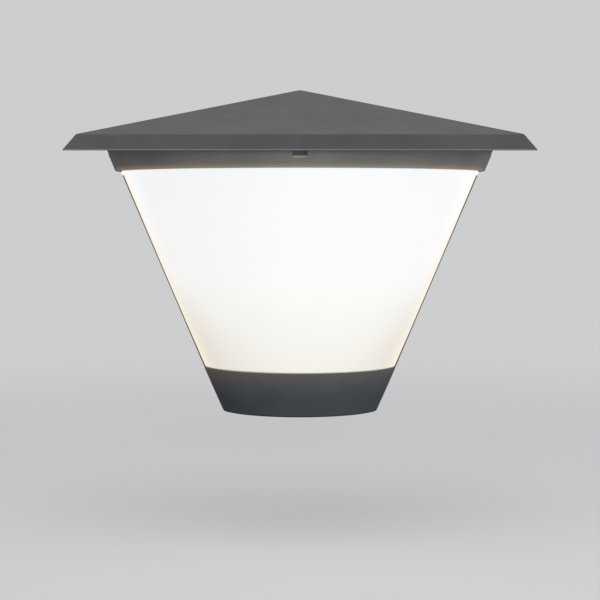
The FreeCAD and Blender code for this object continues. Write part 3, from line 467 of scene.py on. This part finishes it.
# rough is the least and most roughness, cell the grain's scale, depth and bump its height and strength
coat = {"rough": (0.66, 0.8), "cell": 850.0, "depth": 0.00016, "bump": 0.55, "specular": 0.08}
smoothCoat = {"cell": 850.0, "depth": 0.00008, "bump": 0.4}
metal = {"depth": 0.00002, "bump": 0.3, "metallic": 1.0}
lead = {"rough": (0.36, 0.46), "cell": 1100.0, "depth": 0.00003, "bump": 0.3}
finishes = {
    # the light tone on upward faces is dust and painted top light, and the edge tone is a painted edge
    # highlight
    "powderCoat": {**coat, "dark": (74, 76, 77), "light": (81, 82, 83), "dustColor": (136, 136, 134),
                   "dust": 0.55, "wearColor": (118, 119, 120), "wear": 0.25},
    # the band's coat is the powder coat painted lighter, as painted light, with a spill of painted light
    # from the opal
    "collarCoat": {**coat, "dark": (109, 108, 106), "light": (118, 117, 115), "spill": (112, 93, 70),
                   "spillLevel": cone["topLevel"], "spillReach": 0.0042,
                   "spillFade": {"FadeFrom": -0.05, "FadeTo": -0.016}},
    # the cup's coat is the powder coat painted darker and bluer, as painted shade, with a spill of
    # painted light from the opal
    "cupCoat": {**coat, "dark": (67, 71, 75), "light": (73, 77, 81), "spill": (63, 55, 46),
                "spillLevel": cone["bottomLevel"], "spillReach": 0.022},
    "housingCoat": {**coat, "dark": (74, 76, 77), "light": (81, 82, 83), "spill": (84, 62, 44),
                    "spillTurn": 90.0, "spillLevel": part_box("diffuser")[1].y, "spillReach": 0.006},
    # a lighter coat for the rim's front land, a painted highlight
    "rimPaintedHighlight": {**smoothCoat, "dark": (109, 106, 102), "light": (117, 114, 110), "rough": (0.6, 0.72),
                "specular": 0.12},
    # the slot pocket's back is painted darker than the band, a painted shade
    "pocketPaintedShade": {**coat, "dark": (80, 80, 77), "light": (90, 90, 87), "rough": (0.75, 0.88),
                   "specular": 0.05},
    # a much lighter coat on the slot's lip, a painted highlight
    "lipPaintedHighlight": {**smoothCoat, "dark": (160, 155, 148), "light": (182, 177, 169), "rough": (0.5, 0.66),
                  "specular": 0.3},
    "whitePaint": {"dark": (222, 222, 218), "light": (232, 232, 229), "rough": (0.42, 0.52),
                   "cell": 420.0, "depth": 0.00006, "bump": 0.4},
    "silicone": {"dark": (205, 205, 200), "light": (218, 218, 214), "rough": (0.5, 0.6),
                 "cell": 700.0, "depth": 0.00004, "bump": 0.3, "soft": 0.15},
    "rubber": {"dark": (28, 28, 29), "light": (38, 38, 38), "rough": (0.7, 0.85),
               "cell": 1500.0, "depth": 0.0001, "bump": 0.5},
    "screwSteel": {**metal, "dark": (172, 172, 170), "light": (194, 194, 192), "rough": (0.3, 0.42),
                   "cell": 900.0},
    "springSteel": {**metal, "dark": (162, 164, 167), "light": (184, 186, 188), "rough": (0.26, 0.4),
                    "cell": 500.0, "depth": 0.00003, "bump": 0.35, "stretch": (1.0, 6.0, 0.12)},
    "brass": {**metal, "dark": (184, 148, 84), "light": (208, 176, 108), "rough": (0.28, 0.4),
              "cell": 800.0},
    "nylon": {"dark": (214, 213, 206), "light": (226, 225, 219), "rough": (0.42, 0.52),
              "cell": 900.0, "depth": 0.00005, "bump": 0.35, "soft": 0.1},
    "boardMask": {"dark": (224, 226, 226), "light": (236, 237, 236), "rough": (0.3, 0.38),
                  "cell": 300.0, "depth": 0.00003, "bump": 0.3},
    "driverCase": {"dark": (206, 206, 203), "light": (219, 219, 216), "rough": (0.5, 0.6),
                   "cell": 1200.0, "depth": 0.00007, "bump": 0.5},
    "brownLead": {**lead, "dark": (92, 56, 36), "light": (106, 66, 44)},
    "blueLead": {**lead, "dark": (34, 82, 150), "light": (46, 96, 168)},
    "redLead": {**lead, "dark": (168, 32, 28), "light": (186, 42, 36)},
    "blackLead": {**lead, "dark": (24, 24, 25), "light": (34, 34, 35)},
    "earthLead": {**lead, "dark": (40, 116, 44), "light": (52, 130, 54), "stripe": (222, 200, 38)},
}
materials = {name: makeFinish(name, look) for name, look in finishes.items()}

opalLook = {
    "base": (122, 122, 121),
    "glow": 0.86,                   # emission strength
    "top": (242, 243, 245),
    "middle": (246, 246, 244),
    "middleShare": 0.45,            # share of the height that has the middle colour
    "low": (238, 235, 227),
    "corner": (229, 220, 207),      # duller in the two bottom corners
    "cornerReach": 0.056,
    "cornerHeight": 0.55,           # share of the height at which the corners fade out
    "edge": (247, 236, 218),        # a cream strip along each side edge
    "edgeReach": 0.024,
    "fullShare": 0.2,               # share of each reach that has the whole tint
    "rough": (0.28, 0.36),
    "cell": 500.0,
    "bump": 0.2,
    "depth": 0.00003,
}


def makeOpal(look):
    # lit plastic: cooler above, warmer below and along its side edges
    material, tree, shader, place = newMaterial("opalAcrylic")
    axes = addNode(tree, "SeparateXYZ", {"Vector": place})
    height = spread(tree, axes["Z"], cone["bottomLevel"], cone["topLevel"], curve="LINEAR")
    ramp = tree.nodes.new("ShaderNodeValToRGB")
    ramp.color_ramp.elements[0].color = srgb(*look["low"])
    ramp.color_ramp.elements[1].color = srgb(*look["top"])
    ramp.color_ramp.elements.new(look["middleShare"]).color = srgb(*look["middle"])
    feed(tree, ramp, {"Fac": height})
    color = ramp.outputs["Color"]
    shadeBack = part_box("diffuser")[1].y
    low = spread(tree, height, 0.0, look["cornerHeight"], 1.0, 0.0)
    for tint, share in (("corner", low), ("edge", 1.0)):
        reach = look[tint + "Reach"]
        side = spread(tree, axes["Y"], shadeBack - reach, shadeBack - reach * look["fullShare"])
        color = blend(tree, calculate(tree, "MULTIPLY", side, share), color, srgb(*look[tint]))
    feed(tree, shader, {"Base Color": srgb(*look["base"]), "Emission Color": color,
                        "Emission Strength": look["glow"]})
    addSkin(tree, shader, useGroup(tree, "grain", place, Cell=look["cell"]), look)
    return material


materials["opal"] = makeOpal(opalLook)

phosphorLook = {
    "dark": (226, 186, 84),
    "light": (240, 206, 108),
    "glowColor": (255, 238, 190),
    "glow": 0.5,
    "rough": 0.3,
    "cell": 2500.0,
}


def makePhosphor(look):
    # the chips' yellow windows, faintly lit
    material, tree, shader, place = newMaterial("phosphor")
    grain = useGroup(tree, "grain", place, Cell=look["cell"])
    color = blend(tree, grain["Height"], srgb(*look["dark"]), srgb(*look["light"]))
    feed(tree, shader, {"Base Color": color, "Roughness": look["rough"],
                        "Emission Color": srgb(*look["glowColor"]), "Emission Strength": look["glow"]})
    return material


materials["phosphor"] = makePhosphor(phosphorLook)
print("wall light: materials made")


# Roof: rim, bevel and half pyramid with its point against the wall

roof = {
    "wall": 0.003,
    "bevelInset": 0.007,
    "bevelHeight": 0.0093,
    "rimRise": 0.0040,           # the rim's lower edge climbs this much from the front to the wall
    "land": 0.0008,              # narrow upright edge along the front of the rim
    "edgeRound": (0.0008, 3, 12.0),
    "rimRound": (0.00022, 2, 28.0),
    "landFacing": 0.97,          # faces that look forwards more than this belong to the land
    "bossRadius": 0.004,
    "bossPlaces": ((0.042, 26.0), (0.015, 58.0)),   # in from the opal's top, degrees from the wall
}


def makeHip(inset, drop=0.0):
    # a closed hip shape: up the land, up the bevel and then to the point, less the inset
    # the drop takes its lower side further down, so that the inner one cuts right through
    bm = bmesh.new()
    low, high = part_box("roof_cap")
    half = high.x - inset
    front, back = low.y + inset, high.y - inset
    lean = roof["bevelInset"] * (roof["bevelHeight"] - inset) / roof["bevelHeight"]
    made = bmesh.ops.create_grid(bm, x_segments=1, y_segments=1, size=0.5)["verts"]
    bmesh.ops.scale(bm, verts=made, vec=(2 * half, back - front, 1))
    bmesh.ops.translate(bm, verts=made, vec=(0, (front + back) / 2, low.z - roof["land"] - drop))
    stood = bmesh.ops.extrude_face_region(bm, geom=made[0].link_faces[:])["geom"]
    bmesh.ops.translate(bm, verts=onlyVerts(stood), vec=(0, 0, roof["land"] + drop))
    lifted = bmesh.ops.extrude_face_region(bm, geom=onlyFaces(stood))["geom"]
    upper = onlyVerts(lifted)
    frontEdge = [vert for vert in upper if vert.co.y < (front + back) / 2]
    bmesh.ops.translate(bm, verts=upper, vec=(0, 0, roof["bevelHeight"] - inset))
    bmesh.ops.scale(bm, verts=upper, vec=((half - lean) / half, 1, 1))
    bmesh.ops.translate(bm, verts=frontEdge, vec=(0, lean, 0))
    peak = bmesh.ops.extrude_face_region(bm, geom=onlyFaces(lifted))["geom"]
    bmesh.ops.pointmerge(bm, verts=onlyVerts(peak), merge_co=(0, back, high.z - inset))
    level = [face for face in bm.faces if abs(face.normal.z) > straight]
    bmesh.ops.delete(bm, geom=level, context="FACES_ONLY")
    climb = Vector((0, -roof["rimRise"] - roof["land"], high.y - low.y)).normalized()
    rim = low - Vector((0, 0, roof["land"] + drop))
    bmesh.ops.bisect_plane(bm, geom=everything(bm), dist=merge, plane_co=rim, plane_no=climb,
                           clear_inner=True)
    joinFlats(bm, merge)
    faceOutwards(bm)
    return bm


def makeRoof():
    # a hollow hip with a rounded rim and bosses for the soffit's screws, kept within the CAD box
    bm = carve(makeHip(0.0), makeHip(roof["wall"], roof["wall"]))
    low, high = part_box("roof_cap")
    above = low.z + roof["rimRise"] + roof["land"]
    roundEdges(bm, *roof["edgeRound"], only=lambda edge: any(vert.co.z > above for vert in edge.verts))
    roundEdges(bm, *roof["rimRound"], only=lambda edge: all(vert.co.z < above for vert in edge.verts))
    for vert in bm.verts:
        vert.co = [min(max(vert.co[axis], low[axis]), high[axis]) for axis in range(2)] + [vert.co.z]
    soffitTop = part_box("roof_soffit")[1].z
    bevelTop, run = low.z + roof["bevelHeight"], high.y - low.y - roof["bevelInset"]
    # the land takes the lighter coat of a painted highlight
    for item in bm.faces:
        middle = item.calc_center_median()
        inLand = item.normal.y < -roof["landFacing"] and middle.z < low.z + merge
        item.material_index = 1 if inLand else 0
    for inset, degrees in roof["bossPlaces"]:
        reach = cone["topRadius"] - inset
        turn = math.radians(degrees)
        x, y = reach * math.cos(turn), -reach * math.sin(turn)
        fromSide = 1 - (x + roof["bossRadius"]) / (high.x - roof["bevelInset"])
        fromFront = 1 - (high.y - y + roof["bossRadius"]) / run
        top = bevelTop + (high.z - bevelTop) * min(fromSide, fromFront) - roof["wall"] / 2
        for side in (1, -1):
            addRod(bm, (side * x, y, soffitTop), (side * x, y, top), roof["bossRadius"])
    finish = [materials["powderCoat"], materials["rimPaintedHighlight"]]
    showPiece("roofCap", bm, "roof", finish, ["roof_cap"])


makeRoof()
print("wall light: roof made")


# Collar: half-round band with the pry slot

collar = {
    "inside": 0.0013,            # the band's two faces, out from the opal
    "outside": 0.0043,
    "earX": 0.1100,
    "earHalf": 0.007,
    "earDepth": (-0.013, -0.010),
    "earBite": 0.0006,           # the ears reach this far into the wall
    "edgeRound": (0.0005, 2, 25.0),
    "slotWidth": 0.0089,
    "slotHeight": 0.00275,
    "slotDepth": 0.0026,
    "slotOverrun": 0.003,        # the cutters run past the band's face and top by this much
    "backShares": (1 / 3, 1.1),  # the slot's back lies between these shares of its depth
    "lipHeight": 0.0011,
    "lipDepth": 0.001,
    "lipOverrun": 0.0001,        # the lip's cut reaches this far up into the pocket
    "lipFacing": 0.3,            # faces that look up more than this belong to the lip's painted highlight
}


def makeCollar():
    # the band with its slot and lip cut in, and an ear for a screw at each end
    low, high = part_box("collar")
    bottom, top = low.z, high.z
    bm = bmesh.new()
    spinHalf(bm, onCone([(collar["inside"], bottom), (collar["outside"], bottom),
                         (collar["outside"], top), (collar["inside"], top)]))
    face = -(coneRadius(top) + collar["outside"])
    half = collar["slotWidth"] / 2
    slotLow = top - collar["slotHeight"]
    lipLow = slotLow - collar["lipHeight"]
    cutFrom = face - collar["slotOverrun"]
    pocket = bmesh.new()
    addBlock(pocket, (-half, cutFrom, slotLow),
             (half, face + collar["slotDepth"], top + collar["slotOverrun"]))
    bm = carve(bm, pocket)
    lip = bmesh.new()
    wedge = addBlock(lip, (-half, cutFrom, lipLow), (half, 0.0, slotLow + collar["lipOverrun"]))
    lipFace = -(coneRadius(lipLow) + collar["outside"])
    for vert in wedge:
        if vert.co.y > face / 2:
            atTop = vert.co.z > (slotLow + lipLow) / 2
            vert.co.y = lipFace + (collar["lipDepth"] if atTop else 0.0)
    bm = carve(bm, lip)
    # the slot's back faces take a painted shade
    backFrom, backTo = [face + collar["slotDepth"] * share for share in collar["backShares"]]
    # the lip's upward faces take a painted highlight
    for item in bm.faces:
        middle = item.calc_center_median()
        inSlot = middle.z > lipLow and abs(middle.x) < half + merge and middle.y < face / 2
        atBack = backFrom < middle.y < backTo and abs(item.normal.z) < straight
        if inSlot and middle.z < slotLow and item.normal.z > collar["lipFacing"]:
            item.material_index = 1
        elif inSlot and middle.z > slotLow - merge and atBack:
            item.material_index = 2
    roundEdges(bm, *collar["edgeRound"])
    addEars(bm, collar, bottom, top, collar["inside"])
    # the band wears the lighter coat of painted light
    finish = [materials[name] for name in ("collarCoat", "lipPaintedHighlight", "pocketPaintedShade")]
    showPiece("collarBand", bm, "housing", finish, ["collar"])


makeCollar()


# Bottom cup: rounded half-round cup with ears, posts and a drain hole

cup = {
    "proud": 0.001,              # the cup stands out from the opal by this much
    "wall": 0.0024,
    "floor": 0.003,
    "bottomRound": (0.0016, 6, 25.0),
    "edgeRound": (0.0004, 2, 40.0),
    "earBite": 0.0006,
    "earX": 0.0480,
    "earHalf": 0.005,
    "earDepth": (-0.013, -0.010),
    "postRadius": 0.003,
    "postRoot": 0.0005,          # the posts reach this far into the floor
    "drainRadius": 0.002,
    "drainY": -0.0470,
    "drainOverrun": 0.002,
}


def cupShell(floor):
    # the shell, rounded below and drilled
    low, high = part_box("bottom_cup")
    bottom, top = low.z, high.z
    outer, inner = cup["proud"], cup["proud"] - cup["wall"]
    bm = bmesh.new()
    outline = [(0.0, bottom)] + onCone([(outer, bottom), (outer, top), (inner, top), (inner, floor)])
    spinHalf(bm, outline + [(0.0, floor)])
    roundEdges(bm, *cup["bottomRound"],
               only=lambda edge: all(vert.co.z < bottom + merge for vert in edge.verts)
               and any(vert.co.y < -merge for vert in edge.verts))
    drill = bmesh.new()
    addRod(drill, (0, cup["drainY"], bottom - cup["drainOverrun"]),
           (0, cup["drainY"], floor + cup["drainOverrun"]), cup["drainRadius"])
    return carve(bm, drill)


def makeCup():
    # the shell with an ear at each side and posts for the cover's screws
    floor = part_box("bottom_cup")[0].z + cup["floor"]
    bm = cupShell(floor)
    roundEdges(bm, *cup["edgeRound"], clamp=False)
    middle = (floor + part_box("cup_cover")[0].z) / 2
    addEars(bm, cup, middle - cup["earHalf"], middle + cup["earHalf"], cup["proud"] - cup["wall"])
    for low, high in solidBoxes("cup_cover_screws"):
        centre = (low + high) / 2
        start = (centre.x, centre.y, floor - cup["postRoot"])
        addRod(bm, start, (centre.x, centre.y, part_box("cup_cover")[0].z), cup["postRadius"])
    # the cup wears the darker coat of painted shade
    showPiece("bottomCup", bm, "housing", [materials["cupCoat"]], ["bottom_cup"])


makeCup()


# Opal front: half cone with a tongue below, a flange above and a lug at each top corner

opal = {
    "wall": 0.003,
    "flangeHeight": 0.0025,
    "flangeProud": 0.001,
    "tongueLength": 0.004,
    "tongueRoot": 0.003,
    "tongueOutset": -0.0017,     # the tongue's outer face is this far in from the shell's
    "tongueWall": 0.002,
    "lugHeight": 0.0022,
    "lugDrop": 0.0005,
    "lugProud": 0.0009,
    "lugBite": 0.001,            # the lugs reach this far into the shell
    "lugLength": 0.0028,         # and stand this far out behind it
    "lugRound": (0.0003, 2, 30.0),
    "edgeRound": (0.0006, 3, 30.0),
}


def makeOpalFront():
    # the shell's side edges end ahead of its lugs, which reach the CAD piece's back
    low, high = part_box("diffuser")
    shoulder, lip = low.z + opal["tongueLength"], high.z
    flange = lip - opal["flangeHeight"]
    root = shoulder + opal["tongueRoot"]
    tongueOut, tongueIn = opal["tongueOutset"], opal["tongueOutset"] - opal["tongueWall"]
    lugTop = cone["topLevel"] - opal["lugDrop"]
    lugLow = lugTop - opal["lugHeight"]
    edgeY = high.y - opal["lugLength"]
    bm = bmesh.new()
    spinHalf(bm, onCone([(tongueOut, low.z), (tongueOut, shoulder), (0.0, shoulder), (0.0, flange),
                         (opal["flangeProud"], flange), (opal["flangeProud"], lip), (-opal["wall"], lip),
                         (-opal["wall"], root), (tongueIn, root), (tongueIn, low.z)]), sides=False)
    cutAway(bm, (0, edgeY, 0), (0, 1, 0))
    roundEdges(bm, *opal["edgeRound"])
    lugs = bmesh.new()
    spinHalf(lugs, onCone([(-opal["wall"], lugLow), (opal["lugProud"], lugLow),
                           (opal["lugProud"], lugTop), (-opal["wall"], lugTop)]))
    cutAway(lugs, (0, high.y, 0), (0, 1, 0))
    cutAway(lugs, (0, edgeY - opal["lugBite"], 0), (0, -1, 0))
    roundEdges(lugs, *opal["lugRound"])
    addMesh(bm, lugs)
    showPiece("opalFront", bm, "shade", [materials["opal"]], ["diffuser"])


makeOpalFront()
print("wall light: body made")


# Screws: domed pan heads with a cross recess, one shape for each size

screw = {
    "sizes": {"large": (0.0020, 0.0035, 0.0022),     # radius of shank and head, and the head's height
              "small": (0.0015, 0.0027, 0.0018)},
    "largeFrom": 0.0031,         # a head whose radius is above this is the large size
    "segments": 32,
    # the head's outline, as shares of its radius and height
    "domeShares": ((1.0, 0.0), (1.0, 0.5), (0.97, 0.72), (0.9, 0.86), (0.7, 0.95), (0.0, 1.0)),
    "recessShare": 0.62,         # the cross reaches this share of the head's radius
    "recessWidth": 0.0008,
    "recessDepth": 0.0010,
    "tip": 0.0004,
    "front": (0, -1, 0),         # the way that most heads look
    "ways": {"soffit_screws": (0, 0, -1), "catch_screws": (0, 0, -1), "cup_cover_screws": (0, 0, 1),
             "driver_screws": (0, 0, 1)},
}


def makeScrewShape(size):
    # stands on its seat at the origin, head up, with a shank one unit long
    shank, head, height = screw["sizes"][size]
    outline = [(0.0, -1.0), (shank - screw["tip"], -1.0), (shank, screw["tip"] - 1.0), (shank, 0.0)]
    outline += [(head * across, height * up) for across, up in screw["domeShares"]]
    bm = bmesh.new()
    verts = [bm.verts.new((radius, 0, level)) for radius, level in outline]
    edges = [bm.edges.new(pair) for pair in zip(verts, verts[1:])]
    bmesh.ops.spin(bm, geom=verts + edges, cent=(0, 0, 0), axis=(0, 0, 1), angle=2 * math.pi,
                   steps=screw["segments"], use_merge=True)
    bmesh.ops.remove_doubles(bm, verts=bm.verts, dist=merge)
    bmesh.ops.recalc_face_normals(bm, faces=bm.faces)
    arm, half = head * screw["recessShare"], screw["recessWidth"] / 2
    floor = height - screw["recessDepth"]
    for reachX, reachY in ((arm, half), (half, arm)):
        slot = bmesh.new()
        addBlock(slot, (-reachX, -reachY, floor), (reachX, reachY, 2 * height))
        bm = carve(bm, slot)
    shape = bpy.data.meshes.new("screw" + size)
    bm.to_mesh(shape)
    bm.free()
    return shape


screwShapes = {size: makeScrewShape(size) for size in screw["sizes"]}


def pieceName(node):
    # board_screws becomes boardScrews
    first, *others = node.split("_")
    return first + "".join(word.capitalize() for word in others)


def makeScrews(node):
    # one screw for each solid of the node, in its place and of its length
    way = Vector(screw["ways"].get(node, screw["front"]))
    turn = Vector((0, 0, 1)).rotation_difference(way).to_matrix().to_4x4()
    bm = bmesh.new()
    for low, high in solidBoxes(node):
        size = high - low
        across = [size[axis] for axis in range(3) if abs(way[axis]) < 0.5]
        kind = "large" if max(across) / 2 > screw["largeFrom"] else "small"
        middle = (low + high) / 2
        length = abs(size.dot(way))
        height = screw["sizes"][kind][2]
        seat = middle + way * (length / 2 - height)
        before = len(bm.verts)
        bm.from_mesh(screwShapes[kind])
        bm.verts.ensure_lookup_table()
        new = bm.verts[before:]
        for vert in new:
            if vert.co.z < -0.5:    # the shank's end
                vert.co.z += 1.0 - (length - height)
        bmesh.ops.transform(bm, matrix=Matrix.Translation(seat) @ turn, verts=new)
    finishNode(node, bm)


bodies = frame["record"]["behaviour"]["bodies"]
nodeBody = {node: body for body, nodes in bodies.items() for node in nodes}
nodeSlot = {part["node"]: part["material_slot"] for part in frame["record"]["subparts"]}
slotFinish = {
    "powder_coat": "powderCoat", "white_paint": "whitePaint", "silicone": "silicone",
    "black_rubber": "rubber", "screw_steel": "screwSteel", "spring_steel": "springSteel",
    "brass": "brass", "nylon": "nylon", "board_white": "boardMask", "chip_yellow": "phosphor",
    "driver_case": "driverCase", "lead_brown": "brownLead", "lead_blue": "blueLead",
    "lead_green": "earthLead", "lead_red": "redLead", "lead_black": "blackLead", "opal": "opal",
}
# nodes whose finish isn't the one of their slot, and those with a second finish below a level, where the
# soffit's skirt takes the collar's painted light
nodeFinish = {"rear_housing": "housingCoat", "led_chips": "nylon"}
secondFinish = {"roof_soffit": ("collarCoat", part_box("top_reflector")[1].z)}


def finishNode(node, bm, extra=()):
    first = nodeFinish.get(node, slotFinish[nodeSlot[node]])
    finish = [materials[name] for name in (first, *extra)]
    showPiece(pieceName(node), bm, nodeBody[node], finish, [node], sharpAngle=50.0)


for node in ("soffit_screws", "catch_screws", "clip_screws", "collar_screws", "cup_screws",
             "cup_cover_screws", "driver_screws", "tray_screws", "board_screws", "terminal_fixings",
             "cable_clamp_screws", "earth_screw"):
    makeScrews(node)
print("wall light: screws made")


# Parts that keep the CAD shape, with its edges eased by this many metres

easedEdges = {
    "rear_housing": 0.0004, "roof_soffit": 0.0003, "top_reflector": 0.0002, "wall_gasket": 0.0004,
    "fixing_seals": 0.0004, "cable_grommet": 0.0004, "cable_clamp": 0.0005, "terminal_block": 0.0003,
    "terminal_screws": 0.00015, "earth_tag": 0.0001, "earth_washer": 0.00015, "cup_cover": 0.0002,
    "led_driver": 0.0006, "gear_tray": 0.0002, "led_board": 0.0001, "board_plug": 0.0003,
    "side_seals": 0.0002, "lower_seal": 0.0002, "upper_seal": 0.0002, "roof_clip_left": 0.0001,
    "roof_clip_right": 0.0001, "roof_catches": 0.00015,
}
leads = ("lead_live", "lead_neutral", "lead_earth", "lead_led_plus", "lead_led_minus")

for node, width in easedEdges.items():
    bm = cadShape(node)
    roundEdges(bm, width, segments=2, angle=30.0)
    below, level = secondFinish.get(node, (None, None))
    if below:
        for item in bm.faces:
            item.material_index = 1 if item.calc_center_median().z < level - merge else 0
    finishNode(node, bm, (below,) if below else ())
for node in leads:
    finishNode(node, cadShape(node))


# Chips: white frames with a phosphor window, and solder pads at their ends

chip = {
    "frame": 0.00035,
    "windowDepth": 0.00012,
    "windowSlope": 0.00008,
    "padOut": 0.0006,            # the pads show this far past each end
    "padInset": 0.0003,
    "padRise": 0.00015,
}


def makeChips():
    # for each chip a frame with a sunk window, and a pad at each end
    bm = bmesh.new()
    for low, high in solidBoxes("led_chips"):
        made = addBlock(bm, low, high)
        front = next(face for face in made[0].link_faces[:] + made[-1].link_faces[:]
                     if face.normal.y < -straight)
        bmesh.ops.inset_individual(bm, faces=[front], thickness=chip["frame"], depth=0.0)
        bmesh.ops.inset_individual(bm, faces=[front], thickness=chip["windowSlope"],
                                   depth=-chip["windowDepth"])
        front.material_index = 1
        for near, far in ((low.x - chip["padOut"], low.x), (high.x, high.x + chip["padOut"])):
            pad = addBlock(bm, (near, high.y - chip["padRise"], low.z + chip["padInset"]),
                           (far, high.y, high.z - chip["padInset"]))
            for face in {face for vert in pad for face in vert.link_faces}:
                face.material_index = 2
    finishNode("led_chips", bm, ("phosphor", "screwSteel"))


makeChips()
print("wall light: inner parts made")


# Stage, lamps and camera

stage = {
    "floorDrop": 0.075,          # the floor lies this far under the cup
    "floorSize": 12.0,
    "paleView": (205, 206, 207),     # the plain background
    "floorView": 0.92,           # how pale the floor is for the camera
    "floorBounce": 0.3,          # and for the light that it throws back
    "floorGlow": 0.45,           # share of the plain pale tone in the floor near the light
    "floorFade": (0.25, 1.3),    # the floor fades into the background between these distances
    "skyStrength": 0.38,
    "skyColor": (0.96, 0.98, 1.0, 1.0),
}


def makeWorld():
    # soft pale light, and a plain pale tone where the camera, gloss or clear things see it
    world = bpy.data.worlds.new("studio")
    bpy.context.scene.world = world
    world.use_nodes = True
    tree = world.node_tree
    tree.nodes.clear()
    sky = {"Color": stage["skyColor"], "Strength": stage["skyStrength"]}
    light = addNode(tree, "Background", sky)[0]
    pale = addNode(tree, "Background", {"Color": srgb(*stage["paleView"])})[0]
    ray = addNode(tree, "LightPath")
    shown = calculate(tree, "MAXIMUM", ray["Is Camera Ray"], ray["Is Glossy Ray"])
    shown = calculate(tree, "MAXIMUM", shown, ray["Is Transmission Ray"])
    mixed = addNode(tree, "MixShader", {0: shown, 1: light, 2: pale})[0]
    addNode(tree, "OutputWorld", {"Surface": mixed})


def makeFloor():
    # pale and shaded near the light, fades into the background, and is clear from below
    bm = bmesh.new()
    made = bmesh.ops.create_grid(bm, x_segments=1, y_segments=1, size=stage["floorSize"])["verts"]
    bmesh.ops.translate(bm, verts=made, vec=(0, 0, cadBox[0].z - stage["floorDrop"]))
    floor = meshObject("studioFloor", bm)
    material = bpy.data.materials.new("paleFloor")
    material.use_nodes = True
    tree = material.node_tree
    tree.nodes.clear()
    seen = addNode(tree, "LightPath")["Is Camera Ray"]
    tone = spread(tree, seen, 0.0, 1.0, stage["floorBounce"], stage["floorView"], "LINEAR")
    diffuse = addNode(tree, "BsdfDiffuse", {"Color": tone})[0]
    pale = addNode(tree, "Emission", {"Color": srgb(*stage["paleView"])})[0]
    place = addNode(tree, "TexCoord")["Object"]
    flat = addNode(tree, "VectorMath", {0: place, 1: (1, 1, 0)}, operation="MULTIPLY")["Vector"]
    reach = addNode(tree, "VectorMath", {0: flat}, operation="LENGTH")["Value"]
    glow = calculate(tree, "MULTIPLY", seen, stage["floorGlow"])
    fade = spread(tree, reach, *stage["floorFade"], glow)
    above = addNode(tree, "MixShader", {0: fade, 1: diffuse, 2: pale})[0]
    below = addNode(tree, "BsdfTransparent")[0]
    underside = addNode(tree, "NewGeometry")["Backfacing"]
    whole = addNode(tree, "MixShader", {0: underside, 1: above, 2: below})[0]
    addNode(tree, "OutputMaterial", {"Surface": whole})
    floor.data.materials.append(material)


lamps = {
    "frontLamp": {"place": (0.15, -1.7, 0.09), "size": 0.5, "power": 8.2, "color": (0.98, 0.99, 1.0)},
    "leftLamp": {"place": (-0.8, -1.7, 0.10), "size": 0.5, "power": 6.4, "color": (1.0, 0.98, 0.94)},
    "rightLamp": {"place": (1.5, -1.0, 0.15), "size": 0.6, "power": 11.0, "color": (0.97, 0.98, 1.0)},
    "topLamp": {"place": (0.0, -0.8, 1.8), "size": 1.4, "power": 7.2, "color": (1.0, 0.99, 0.98)},
}


def makeLamps():
    target = (cadBox[0] + cadBox[1]) / 2
    for name, look in lamps.items():
        lamp = bpy.data.lights.new(name, "AREA")
        lamp.shape = "DISK"
        lamp.size = look["size"]
        lamp.energy = look["power"]
        lamp.color = look["color"]
        holder = addObject(name, lamp)
        holder.location = look["place"]
        holder.rotation_euler = (target - Vector(look["place"])).to_track_quat("-Z", "Y").to_euler()
        holder.visible_camera = False


camera = {
    "place": (0.0, -1.150, 0.045),
    "pitch": -3.16,              # degrees, looking slightly down
    "lens": 101.8,
    "sensor": 36.0,
    "clip": (0.05, 50.0),
}


def makeCamera():
    data = bpy.data.cameras.new("photoCamera")
    data.lens = camera["lens"]
    data.sensor_width = camera["sensor"]
    data.clip_start, data.clip_end = camera["clip"]
    holder = addObject("photoCamera", data)
    holder.location = camera["place"]
    holder.rotation_euler = (math.radians(90 + camera["pitch"]), 0, 0)
    bpy.context.scene.camera = holder


makeWorld()
makeFloor()
makeLamps()
makeCamera()
bpy.context.scene.view_settings.view_transform = "Standard"
print("wall light: stage made")
